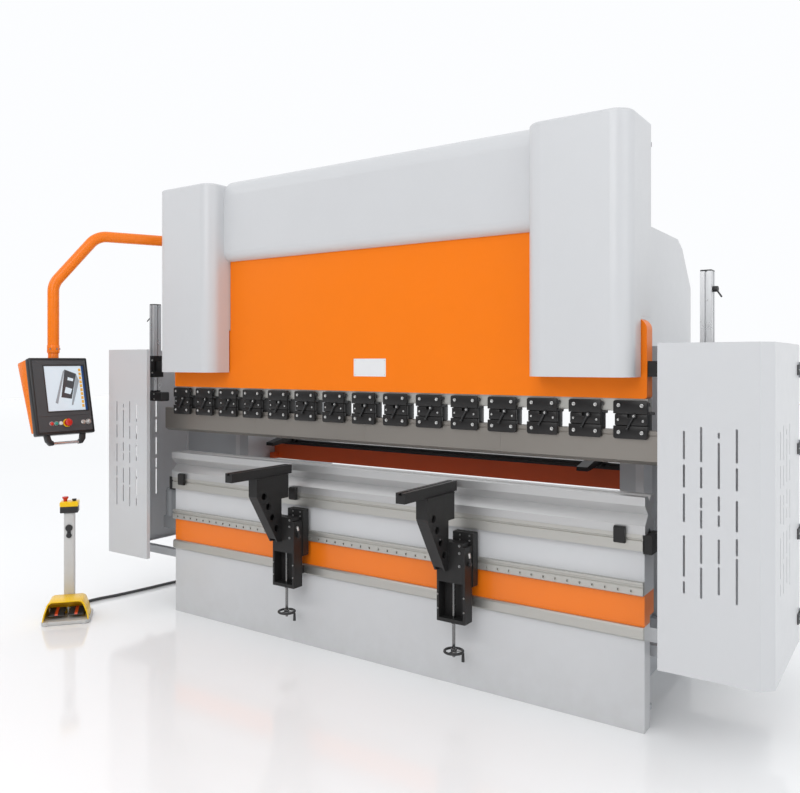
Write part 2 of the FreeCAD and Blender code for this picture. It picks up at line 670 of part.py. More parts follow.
def laser_unit():
    """Grooved post with its optical head, right-hand side."""
    half_x, half_y = LASER_POST_WIDTH / 2, LASER_POST_DEPTH / 2
    head_low, head_high = LASER_HEAD_Z
    post = box(LASER_X - half_x, LASER_X + half_x, -half_y, half_y, head_high + 9, LASER_POST_TOP)
    grooves = []
    for side in (-1, 1):
        y = side * half_y
        grooves.append(box(LASER_X - 4, LASER_X + 4, y - 8, y + 8, head_high + 60, LASER_POST_TOP + 1))
        x = LASER_X + side * half_x
        grooves.append(box(x - 7, x + 7, -4, 4, head_high + 60, LASER_POST_TOP + 1))
    post = post.cut(group(grooves))
    head = box(LASER_X - 107, LASER_X + 43, -35, 35, head_low, head_high)
    neck = box(LASER_X - half_x, LASER_X + half_x, -half_y, half_y, head_high, head_high + 9)
    stop = box(LASER_X + half_x, LASER_X + half_x + 12, -14, 14, 1942, 1974)
    return fuse([post, neck, head, stop])


# ---- side guards ----------------------------------------------------------------------
SLOT_COLUMNS = (
    (1364, (118, 20, 96, 24, 118, 54, 171, 18, 51)),
    (1383, (144, 20, 87, 36, 44, 8, 75, 26, 117, 15, 128)),
    (1363, (25, 16, 186, 29, 62, 14, 47, 50, 100, 12, 113)),
    (1380, (136, 19, 92, 38, 125, 26, 69, 10, 184)),
)


def slot_cutters(place):
    """Vent slots of one panel; place(column) gives the transform of each column."""
    radius = SLOT_WIDTH / 2
    cutters = []
    for column, (top, runs) in enumerate(SLOT_COLUMNS):
        z = float(top)
        for i, run in enumerate(runs):
            if i % 2 == 0:
                body = box(-radius, radius, -10, 10, z - run + radius, z - radius)
                ends = [rod(0, -10, z - radius, radius, 20, (0, 1, 0)),
                        rod(0, -10, z - run + radius, radius, 20, (0, 1, 0))]
                cutter = body.multiFuse(ends)
                cutters.append(place(cutter, column))
            z -= run
    return cutters


def guard_outline():
    """(x, y) outline of the right-hand guard."""
    dx, dy = GUARD_CHAMFER
    rear = GUARD_REAR - 5
    return [
        (GUARD_INNER_X, GUARD_FRONT), (GUARD_OUTER_X - dx, GUARD_FRONT),
        (GUARD_OUTER_X, GUARD_FRONT + dy), (GUARD_OUTER_X, rear), (GUARD_INNER_X, rear),
    ]


def guard_door():
    """Folded and slotted sheet door, right-hand side, with its hinge knuckles."""
    low, high = GUARD_Z
    outline = guard_outline()
    rear = outline[3][1]
    door = prism_z(outline, low, high)
    door = door.cut(prism_z(outline, low + SHEET, high - SHEET, SHEET))
    door = door.cut(prism_z(outline, low - 1, high + 1, GUARD_RETURN))
    door = door.cut(box(GUARD_INNER_X - 1, GUARD_OUTER_X - GUARD_RETURN, GUARD_FRONT + GUARD_RETURN,
                        rear + 1, low - 1, high + 1))

    def on_front(cutter, column):
        cutter.translate(V(GUARD_INNER_X + 108 + column * SLOT_PITCH, GUARD_FRONT, 0))
        return cutter

    def on_side(cutter, column):
        cutter.rotate(V(0, 0, 0), V(0, 0, 1), 90)
        cutter.translate(V(GUARD_OUTER_X, -20 + column * SLOT_PITCH * 1.25, 0))
        return cutter

    door = door.cut(group(slot_cutters(on_front) + slot_cutters(on_side)))
    knuckles = []
    for z in HINGE_HEIGHTS:
        leaf = box(GUARD_OUTER_X, GUARD_OUTER_X + 4, HINGE_Y - 62, HINGE_Y - 2, z - 15, z + 15)
        barrel = rod(HINGE_X, HINGE_Y, z - 15, HINGE_KNUCKLE_R, 30)
        joined = leaf.fuse(barrel)
        bore = rod(HINGE_X, HINGE_Y, z - 16, HINGE_PIN_R + RUNNING_FIT, 32)
        knuckles.append(joined.cut(bore))
    return door.multiFuse(knuckles)


def guard_frame():
    """Rear panel, hinge pins and carrying bars of the right-hand guard."""
    low, high = GUARD_Z
    panel = box(COVER_OUTER, GUARD_OUTER_X, GUARD_REAR - SHEET, GUARD_REAR, low - 5, high)
    bars = [box(COVER_OUTER, GUARD_OUTER_X - 54, y0, y0 + 40, low - 55, low - 5)
            for y0 in (100.0, GUARD_REAR - 40)]
    hinges = []
    for z in HINGE_HEIGHTS:
        for z0 in (z - 36.0, z + 16.0):
            leaf = box(GUARD_OUTER_X - 50, HINGE_X, GUARD_REAR, GUARD_REAR + 4, z0, z0 + 20)
            hinges.append(leaf.fuse(rod(HINGE_X, HINGE_Y, z0, HINGE_KNUCKLE_R, 20)))
        hinges.append(rod(HINGE_X, HINGE_Y, z - 36, HINGE_PIN_R, 72))
    return fuse([panel] + bars + hinges)


# ---- front sheet supports -------------------------------------------------------------
def support_carriage(x):
    """Carriage on the bed rail with its channel-shaped column."""
    y0, y1 = COLUMN_Y
    low, high = COLUMN_Z
    half = COLUMN_WIDTH / 2
    back = box(x - half, x + half, y1 - COLUMN_WALL, y1, low, high)
    sides = [box(x - half, x - half + COLUMN_WALL, y0, y1, low, high),
             box(x + half - COLUMN_WALL, x + half, y0, y1, low, high)]
    sill = box(x - half, x + half, y0, y1, low, low + 18)
    plate = box(x + CARRIAGE_PLATE_X[0], x + CARRIAGE_PLATE_X[1], y1, RAIL_FRONT, *CARRIAGE_PLATE_Z)
    shoe = box(x - 50, x + 50, y1, GUIDE_BAR_FRONT, GUIDE_BAR_Z[0] + 6, GUIDE_BAR_Z[1] - 6)
    solid = fuse([back, sill, plate, shoe] + sides)
    return solid.cut(rod(x, SCREW_Y, low - 1, SCREW_R + RUNNING_FIT, 20))


def support_arm(x):
    """Nut block, two bored bracket plates and the grooved arm on top."""
    y0, y1 = COLUMN_Y
    half = COLUMN_WIDTH / 2 - COLUMN_WALL - SLIDE_GAP
    nut_low, nut_high = NUT_Z
    block = box(x - half, x + half, y0, y1 - COLUMN_WALL - SLIDE_GAP, nut_low, nut_high)
    block = block.cut(rod(x, SCREW_Y, nut_low - 1, SCREW_R + RUNNING_FIT, nut_high - nut_low + 2))
    centre = x - SUPPORT_ARM_OFFSET
    arm_low = SUPPORT_ARM_TOP - SUPPORT_ARM_SIZE
    front = y0 - BRACKET_REACH
    rear = y1 - COLUMN_WALL - 2
    clear = COLUMN_Z[1] + LIFT_DOWN + 5
    nose = [(y0 - 44, nut_low + 80), (front + 10, arm_low - 120), (front, arm_low - 100), (front, arm_low)]
    outline = [(y0, nut_low + 60), (y0 - 34, nut_low + 62)] + nose + [
        (rear, arm_low), (rear, clear), (y0, clear)]
    inner = centre + BRACKET_HALF - BRACKET_PLATE
    plates = group([prism_x(outline, centre - BRACKET_HALF, 2 * centre - inner),
                    prism_x(outline, inner, centre + BRACKET_HALF)])
    steps = (0.10, 0.38, 0.66, 0.92)
    holes = [rod(centre - BRACKET_HALF - 1, y0 - 28 - (BRACKET_REACH - 78) * t,
                 nut_low + 120 + (arm_low - nut_low - 205) * t, 19, 2 * BRACKET_HALF + 2, (1, 0, 0))
             for t in steps]
    web = prism_x(nose + [(front + 8, arm_low), (front + 8, arm_low - 98), (front + 17, arm_low - 116),
                          (y0 - 36, nut_low + 80)], 2 * centre - inner, inner)
    half_arm = SUPPORT_ARM_SIZE / 2
    arm = box(centre - half_arm, centre + half_arm, *SUPPORT_ARM_Y, arm_low, SUPPORT_ARM_TOP)
    groove = box(centre - 5, centre + 5, SUPPORT_ARM_Y[0] - 1, SUPPORT_ARM_Y[1] + 1,
                 SUPPORT_ARM_TOP - 12, SUPPORT_ARM_TOP + 1)
    pocket = box(centre - 10, centre + 10, SUPPORT_ARM_Y[0] - 1, SUPPORT_ARM_Y[1] + 1,
                 SUPPORT_ARM_TOP - 12, SUPPORT_ARM_TOP - 5)
    arm = arm.cut(groove).cut(pocket)
    pad = box(centre - 34, centre + 34, front + 4, rear - 2, arm_low - 8, arm_low)
    return fuse([block, web, arm, pad] + plates.cut(group(holes)).Solids)


def handwheel(x):
    """Lifting screw with its wheel and handle."""
    y = SCREW_Y
    low = HANDWHEEL_Z - 30
    ring = HANDWHEEL_R - 6
    screw = rod(x, y, low, SCREW_R, SCREW_TOP - low)
    rim = Part.makeTorus(ring, 6, V(x, y, HANDWHEEL_Z))
    hub = rod(x, y, HANDWHEEL_Z - 12, 15, 24)
    first = math.radians(SPOKE_ANGLE)
    spokes = [rod(x, y, HANDWHEEL_Z, 4, ring, (math.cos(first + turn), math.sin(first + turn), 0))
              for turn in (0.0, 2 * math.pi / 3, 4 * math.pi / 3)]
    handle = rod(x + ring * math.cos(first), y + ring * math.sin(first), HANDWHEEL_Z - 50, 8, 50)
    return fuse([screw, rim, hub, handle] + spokes)


def lock_lever(x):
    """Clamping lever on the right flange of the column."""
    y, z = LOCK_PLACE
    face = x + COLUMN_WIDTH / 2 + 0.3
    hub = rod(face, y, z, 11, 16, (1, 0, 0))
    tip = V(0.1, -0.35, 0.9).normalize()
    lever = rod(face + 10, y, z, 5, 58, (tip.x, tip.y, tip.z))
    knob = Part.makeSphere(9, V(face + 10, y, z) + tip * 58)
    return fuse([hub, lever, knob])


# ---- control arm and panel ------------------------------------------------------------
def arm_bracket():
    """Bearing post on the left frame's top for the control arm."""
    x, y = ARM_PIVOT
    base = box(x - 60, -FRAME_INNER, y - 70, y + 70, FRAME_TOP, FRAME_TOP + 20)
    post = rod(x, y, FRAME_TOP + 20, 48, ARM_LEVEL - 60 - FRAME_TOP - 20)
    pin = rod(x, y, ARM_LEVEL - 60, 25, 110)
    return fuse([base, post, pin])


def arm_points():
    """Corners of the control arm's centre line."""
    heading = math.radians(ARM_HEADING)
    ux, uy = math.cos(heading), math.sin(heading)
    x, y = ARM_PIVOT
    first = (x + 40 * ux, y + 40 * uy, ARM_LEVEL)
    knee = (x + ARM_REACH * ux, y + ARM_REACH * uy, ARM_LEVEL)
    drop = ARM_REACH + ARM_SLOPE_REACH
    elbow = (x + drop * ux, y + drop * uy, ARM_LEVEL - ARM_DROP)
    return [first, knee, elbow, (elbow[0], elbow[1], ARM_BOTTOM)]


def control_arm():
    """Bent tube with its bearing sleeve."""
    x, y = ARM_PIVOT
    tube = tube_along(arm_points(), ARM_TUBE_R, ARM_BEND_R, "control arm")
    sleeve = rod(x, y, ARM_LEVEL - 59.5, 50, 119)
    solid = fuse([sleeve, tube])
    return solid.cut(rod(x, y, ARM_LEVEL - 61, 25 + RUNNING_FIT, 112))


def on_panel(shape):
    """Move a piece from the panel's own frame (X right, Y back, Z up) to its place."""
    end = arm_points()[-1]
    shape.rotate(V(0, 0, 0), V(1, 0, 0), -PANEL_TILT)
    shape.rotate(V(0, 0, 0), V(0, 0, 1), PANEL_FACING + 90)
    shape.translate(V(end[0], end[1], ARM_BOTTOM - PANEL_DROP))
    return shape


def panel_case():
    """Tilted panel case with its wedge housing, grab handle and swivel neck."""
    half = PANEL_WIDTH / 2
    bottom, wall = PANEL_BOTTOM, PANEL_WALL
    case = box(-half, half, PANEL_FACE, PANEL_BACK, bottom, PANEL_TOP)
    case = fillet_where(case, 10, lambda e: e.BoundBox.YLength > PANEL_DEPTH - 0.1)
    case = case.cut(box(*SCREEN_X, PANEL_FACE - 1, PANEL_FACE + SCREEN_RECESS + RUNNING_FIT, *SCREEN_Z))
    low_rear, top_rear = WEDGE_DEPTH
    top, foot = PANEL_TOP - 2, bottom + 26
    side = half - WEDGE_INSET
    housing = prism_x([
        (PANEL_BACK, top), (top_rear - 6, top), (top_rear, top - 10), (low_rear, foot), (PANEL_BACK, foot),
    ], -side, side)
    hollow = box(-half + wall, half - wall, PANEL_FACE + 34, PANEL_BACK - 1, bottom + wall, PANEL_TOP - wall)
    top, foot = top - wall, foot + wall
    wedge_hollow = prism_x([
        (PANEL_BACK - 2, top), (top_rear - 6 - wall, top), (top_rear - wall, top - 8),
        (low_rear - wall, foot), (PANEL_BACK - 2, foot),
    ], -side + wall, side - wall)
    grips = [box(x - 11, x + 11, PANEL_FACE + 14, PANEL_FACE + 44, bottom - 62, bottom)
             for x in (-GRIP_X, GRIP_X)]
    bar = rod(-GRIP_X, PANEL_FACE + 29, bottom - 50, 11, 2 * GRIP_X, (1, 0, 0))
    bores = [(x, BUTTON_R) for x in BUTTON_X.values()] + [(STOP_X, STOP_R), (SELECTOR_X, SELECTOR_R)]
    cuts = [rod(x, PANEL_FACE - 1, CONTROL_ROW, radius + BORE_GAP, 35.5, (0, 1, 0)) for x, radius in bores]
    solid = fuse([case, housing, bar] + grips)
    for cut in cuts + [hollow, wedge_hollow]:
        solid = solid.cut(cut)
    solid = on_panel(solid)
    x, y = arm_points()[-1][:2]
    neck = rod(x, y, ARM_BOTTOM - 90, 32, 90 - BORE_GAP)
    return fuse([solid, neck])


def panel_screen():
    """Display set in the case's recess."""
    return on_panel(box(SCREEN_X[0] + BORE_GAP, SCREEN_X[1] - BORE_GAP, PANEL_FACE + 3,
                        PANEL_FACE + SCREEN_RECESS, SCREEN_Z[0] + BORE_GAP, SCREEN_Z[1] - BORE_GAP))


def push_button(x):
    """Flat push button in the control row."""
    return on_panel(rod(x, PANEL_FACE - 7, CONTROL_ROW, BUTTON_R, 30, (0, 1, 0)))


def panel_estop():
    """Mushroom stop button."""
    stem = rod(STOP_X, PANEL_FACE - 16, CONTROL_ROW, STOP_R, 38, (0, 1, 0))
    cap = rod(STOP_X, PANEL_FACE - 30, CONTROL_ROW, STOP_R + 7, 14, (0, 1, 0))
    return on_panel(fillet_where(fuse([stem, cap]), 4, lambda e: e.BoundBox.YMax < PANEL_FACE - 29.9))


def panel_selector():
    """Turning selector with its grip."""
    x, radius = SELECTOR_X, SELECTOR_R
    body = rod(x, PANEL_FACE - 10, CONTROL_ROW, radius, 32, (0, 1, 0))
    grip = box(x - 4, x + 4, PANEL_FACE - 20, PANEL_FACE - 10,
               CONTROL_ROW - radius + 1, CONTROL_ROW + radius - 1)
    return on_panel(fuse([body, grip]))


# ---- back gauge -----------------------------------------------------------------------
def gauge_rails():
    """Rails on the inner faces of the frames that carry the back gauge."""
    z = GAUGE_TOP - GAUGE_HEIGHT - 40
    rail = box(FRAME_INNER - 40, FRAME_INNER, THROAT_BACK + 23, FRAME_REAR - 195, z, z + 40)
    return both_sides(rail)


def gauge_beam():
    """Cross beam with end shoes resting on the rails."""
    half = FRAME_INNER - GAUGE_END_GAP
    low = GAUGE_TOP - GAUGE_HEIGHT
    beam = box(-half, half, GAUGE_Y[0], GAUGE_Y[1], low, GAUGE_TOP)
    track = box(-half, half, GAUGE_Y[0] + 14, GAUGE_Y[1] - 14, GAUGE_TOP, GAUGE_TOP + 16)
    shoe = box(half - 38, half, GAUGE_Y[0] - 50, GAUGE_Y[1] + 50, low, low + 40)
    return fuse([beam, track, shoe, mirrored(shoe)])


def gauge_finger(x):
    """Stop finger on the gauge beam's track."""
    y0, y1 = GAUGE_Y
    saddle = box(x - 45, x + 45, y0 - 10, y1 + 10, GAUGE_TOP + 0.3, GAUGE_TOP + 52)
    saddle = saddle.cut(box(x - 46, x + 46, y0 + 13.5, y1 - 13.5, GAUGE_TOP, GAUGE_TOP + 16.5))
    nose = prism_x([
        (y0 - 10, GAUGE_TOP + 10), (y0 - 190, GAUGE_TOP - 8), (y0 - 210, GAUGE_TOP - 8),
        (y0 - 210, GAUGE_TOP + 14), (y0 - 60, GAUGE_TOP + 46), (y0 - 10, GAUGE_TOP + 46),
    ], x - 30, x + 30)
    return fuse([saddle, nose])


# ---- foot station ---------------------------------------------------------------------
def on_station(shape):
    """Move a piece from the station's own frame (X right, Y back, Z up) to its place."""
    shape.rotate(V(0, 0, 0), V(0, 0, 1), STATION_FACING + 90)
    shape.translate(V(STATION_FRONT[0], STATION_FRONT[1], 0))
    return shape


def station_point(x, y):
    """World (x, y) of a point in the station's frame."""
    a = math.radians(STATION_FACING + 90)
    return (STATION_FRONT[0] + x * math.cos(a) - y * math.sin(a),
            STATION_FRONT[1] + x * math.sin(a) + y * math.cos(a))


def foot_base():
    """Cast base with raised corners."""
    half = STATION_WIDTH / 2
    base = box(-half, half, 0, STATION_DEPTH, 0, STATION_BASE)
    base = fillet_where(base, 22, is_vertical)
    base = base.cut(box(-half + 30, half - 30, -1, 9, -1, STATION_BASE + 1))
    return on_station(base)


def foot_hood():
    """Open-fronted hood over the pedals."""
    half = STATION_WIDTH / 2 - 8
    z0, z1 = STATION_BASE, STATION_BASE + HOOD_HEIGHT
    outer = prism_y([(-half, z0), (-half + 8, z0 + 45), (-half + 34, z1 - 8), (-half + 48, z1),
                     (half - 48, z1), (half - 34, z1 - 8), (half - 8, z0 + 45), (half, z0)], 14, HOOD_BACK)
    inner = prism_y([(-half + 5, z0), (-half + 13, z0 + 45), (-half + 38, z1 - 13), (-half + 50, z1 - 5),
                     (half - 50, z1 - 5), (half - 38, z1 - 13), (half - 13, z0 + 45), (half - 5, z0)],
                    13, HOOD_BACK - 5)
    return on_station(outer.cut(inner))


def pedal(side):
    """Foot pedal hinged at the back of the base."""
    x = side * 58.0
    plate = prism_x([(40, 48), (44, 55), (150, 74), (158, 66), (158, 58), (150, 56)], x - 46, x + 46)
    tread = box(x - 12, x + 12, 46, 130, 56, 60)
    tread.rotate(V(x, 46, 56), V(1, 0, 0), 10)
    pivot = rod(x - 46, 155, 62, 9, 92, (1, 0, 0))
    solid = fuse([plate, pivot, tread])
    return on_station(solid.cut(rod(x - 50, 155, 62, 4 + RUNNING_FIT, 100, (1, 0, 0))))


def pedal_axle():
    """Fixed axle of the two pedals, with its stands on the base."""
    stands = [box(x - 4, x + 4, 143, 167, STATION_BASE, 72) for x in (-110.0, 0.0, 110.0)]
    axle = rod(-114, 155, 62, 4, 228, (1, 0, 0))
    return on_station(fuse(stands + [axle]))


def station_post():
    """Square post behind the hood with its foot flange."""
    half = POST_SIZE / 2
    y = POST_Y
    tube = fillet_where(box(-half, half, y - half, y + half, STATION_BASE, POST_TOP), 8, is_vertical)
    return on_station(tube)


def station_box():
    """Push-button box on the post."""
    w, d, h = STATION_BOX
    y = POST_Y
    case = box(-w / 2, w / 2, y - d / 2, y + d / 2, POST_TOP, POST_TOP + h)
    case = fillet_where(case, 8, is_vertical)
    for x, r in ((-26.0, 12.3), (28.0, 12.3)):
        case = case.cut(rod(x, y, POST_TOP + h - 30, r, 31))
    return on_station(case)


def station_estop():
    """Red mushroom button on the box."""
    y = POST_Y
    top = STATION_TOP
    return on_station(fuse([rod(-26, y, top - 20, 12, 36), rod(-26, y, top + 16, 20, 14)]))


def station_button():
    """Black button on the box."""
    y = POST_Y
    top = STATION_TOP
    return on_station(fuse([rod(28, y, top - 20, 12, 28), rod(28, y, top + 8, 15, 5)]))


def cable_start():
    """Point where the cable leaves the foot station's gland."""
    return station_point(0.0, STATION_DEPTH + STATION_GLAND)


def cable_glands():
    """Cable outlet on the foot base and cable inlet on the left frame."""
    half, y = GLAND_HALF, CABLE_INLET_Y
    first = on_station(box(-half, half, STATION_DEPTH, STATION_DEPTH + STATION_GLAND, 0, 34))
    second = box(-FRAME_OUTER - INLET_GLAND, -FRAME_OUTER, y - half, y + half, 0, 42)
    return group([first, second])


def pedal_cable():
    """Cable lying on the floor from the foot station to the left frame."""
    lead = station_point(0.0, STATION_DEPTH + STATION_GLAND + CABLE_LEAD)
    route = [cable_start(), lead] + CABLE_ROUTE + [(-FRAME_OUTER - INLET_GLAND, CABLE_INLET_Y)]
    points = [(float(x), float(y), CABLE_Z) for x, y in route]
    return tube_along(points, CABLE_DIAMETER / 2, None, "pedal cable")


# ---- electrical cabinet ---------------------------------------------------------------
def electrical_cabinet():
    """Steel cabinet on the right frame with a hollow inside and hinge pins."""
    x0, x1 = CABINET_X
    y0, y1 = CABINET_Y
    z0, z1 = CABINET_Z
    shell = box(x0, x1, y0, y1, z0, z1)
    shell = shell.cut(box(x0 + SHEET, x1 + 1, y0 + SHEET, y1 - SHEET, z0 + SHEET, z1 - SHEET))
    plate = box(x0 + SHEET, x0 + 30, y0 + 40, y1 - 40, z0 + 40, z1 - 40)
    solids = [shell, plate]
    for z in (z0 + 150, z1 - 150):
        leaf = box(x1 - 30, x1 + 8, y1, y1 + 3, z - 30, z - 10)
        solids += [leaf, rod(x1 + 12, y1 + 6, z - 30, 8, 20), rod(x1 + 12, y1 + 6, z - 30, 4, 60)]
    return fuse(solids)


def cabinet_door():
    """Door on the cabinet's outer face with its knuckles and handle."""
    x1 = CABINET_X[1]
    y0, y1 = CABINET_Y
    z0, z1 = CABINET_Z
    door = box(x1 + 1, x1 + 19, y0, y1 - 4, z0, z1)
    door = door.cut(box(x1, x1 + 16, y0 + SHEET, y1 - 4 - SHEET, z0 + SHEET, z1 - SHEET))
    handle = box(x1 + 19, x1 + 34, y0 + 40, y0 + 60, (z0 + z1) / 2 - 60, (z0 + z1) / 2 + 60)
    parts = [door, handle]
    for z in (z0 + 150, z1 - 150):
        leaf = box(x1 + 5, x1 + 19, y1 - 5, y1 + 4, z - 9.5, z + 20)
        barrel = rod(x1 + 12, y1 + 6, z - 9.5, 8, 29.5)
        parts += [leaf, barrel]
    solid = fuse(parts)
    for z in (z0 + 150, z1 - 150):
        solid = solid.cut(rod(x1 + 12, y1 + 6, z - 11, 4 + RUNNING_FIT, 45))
    return solid


def build():
    """Write every piece."""
    os.makedirs("parts", exist_ok=True)
    put("side_frames", side_frames())
    put("side_covers", side_covers())
    put("ram_guides", ram_guides())
    put("bed_beam", bed_beam())
    put("support_rails", support_rails())
    put("die_holder", die_holder())
    put("die_block", die_block())
    put("die_clamps", die_clamps())
    put("crowning_drive", crowning_drive())
    put("hydraulic_cylinders", hydraulic_cylinders())
    put("piston_rods", piston_rods())
    put("oil_tank", oil_tank())
    put("pump_unit", pump_unit())
    cover = cylinder_cover()
    put("cylinder_cover_right", cover)
    put("cylinder_cover_left", mirrored(cover))
    put("top_fairing", top_fairing())
    put("ram_beam", ram_beam())
    put("clamp_holder", clamp_holder())
    put("tool_clamps", tool_clamps())
    put("clamp_fittings", clamp_fittings())
    put("punches", punches())
    put("laser_brackets", laser_brackets())
    laser = laser_unit()
    put("laser_unit_right", laser)
    put("laser_unit_left", mirrored(laser))
    door = guard_door()
    put("guard_door_right", door)
    put("guard_door_left", mirrored(door))
    put("guard_frames", both_sides(guard_frame()))
    for side, x in SUPPORT_X.items():
        put("support_carriage_" + side, support_carriage(x))
        put("support_arm_" + side, support_arm(x))
        put("handwheel_" + side, handwheel(x))
        put("lock_lever_" + side, lock_lever(x))
    put("arm_bracket", arm_bracket())
    put("control_arm", control_arm())
    put("panel_case", panel_case())
    put("panel_screen", panel_screen())
    put("panel_estop", panel_estop())
    for colour, x in BUTTON_X.items():
        put("panel_button_" + colour, push_button(x))
    put("panel_selector", panel_selector())
    put("gauge_rails", gauge_rails())
    put("gauge_beam", gauge_beam())
    put("gauge_finger_left", gauge_finger(FINGER_MARGIN["left"] - FRAME_INNER))
    put("gauge_finger_right", gauge_finger(FRAME_INNER - FINGER_MARGIN["right"]))
    put("foot_base", group([foot_base(), pedal_axle()]))
    put("foot_hood", foot_hood())
    put("pedal_left", pedal(-1))
    put("pedal_right", pedal(1))
    put("station_post", station_post())
    put("station_box", station_box())
    put("station_estop", station_estop())
    put("station_button", station_button())
    put("cable_glands", cable_glands())
    put("pedal_cable", pedal_cable())
    put("electrical_cabinet", electrical_cabinet())
    put("cabinet_door", cabinet_door())


build()
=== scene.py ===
"""Looks of a hydraulic press brake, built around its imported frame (metres, Z up)."""
import json
import logging
import math
from dataclasses import dataclass, field
from enum import Enum
from typing import Callable, Dict, Iterable, List, Optional, Sequence, Tuple

import bmesh
import bpy
from mathutils import Matrix, Vector


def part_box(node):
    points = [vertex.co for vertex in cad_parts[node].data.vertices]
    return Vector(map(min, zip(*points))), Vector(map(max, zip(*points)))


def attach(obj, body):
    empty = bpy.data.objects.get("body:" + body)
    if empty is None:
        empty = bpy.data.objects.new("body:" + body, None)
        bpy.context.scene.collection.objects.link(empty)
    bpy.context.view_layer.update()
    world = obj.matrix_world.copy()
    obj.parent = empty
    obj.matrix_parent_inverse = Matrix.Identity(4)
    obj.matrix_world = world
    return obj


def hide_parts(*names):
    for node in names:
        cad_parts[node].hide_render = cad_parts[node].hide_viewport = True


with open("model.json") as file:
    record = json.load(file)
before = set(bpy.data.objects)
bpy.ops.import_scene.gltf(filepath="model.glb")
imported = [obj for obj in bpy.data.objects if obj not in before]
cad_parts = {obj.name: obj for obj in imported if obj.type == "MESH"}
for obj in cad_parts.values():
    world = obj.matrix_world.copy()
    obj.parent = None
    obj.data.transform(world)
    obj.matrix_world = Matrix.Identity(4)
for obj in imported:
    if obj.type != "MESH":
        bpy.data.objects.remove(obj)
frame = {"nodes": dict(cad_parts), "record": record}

LOG = logging.getLogger("press_brake")
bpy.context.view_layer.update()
Point = Tuple[float, float, float]
Flat = Tuple[float, float]
Piece = bpy.types.Object
Tree = bpy.types.NodeTree
Socket = bpy.types.NodeSocket
MIX_FIRST, MIX_SECOND, MIX_RESULT = 6, 7, 2  # colour sockets of a Mix node
COAT_ROUGHNESS = 0.12
BUMP_DISTANCE = 0.0006
DUST, DUST_TOP = (0.36, 0.34, 0.31), 0.5
FRONT_FACING = -0.99


class Axis(Enum):
    """Direction that a profile or a barrel runs along."""

    X = 0
    Y = 1
    Z = 2


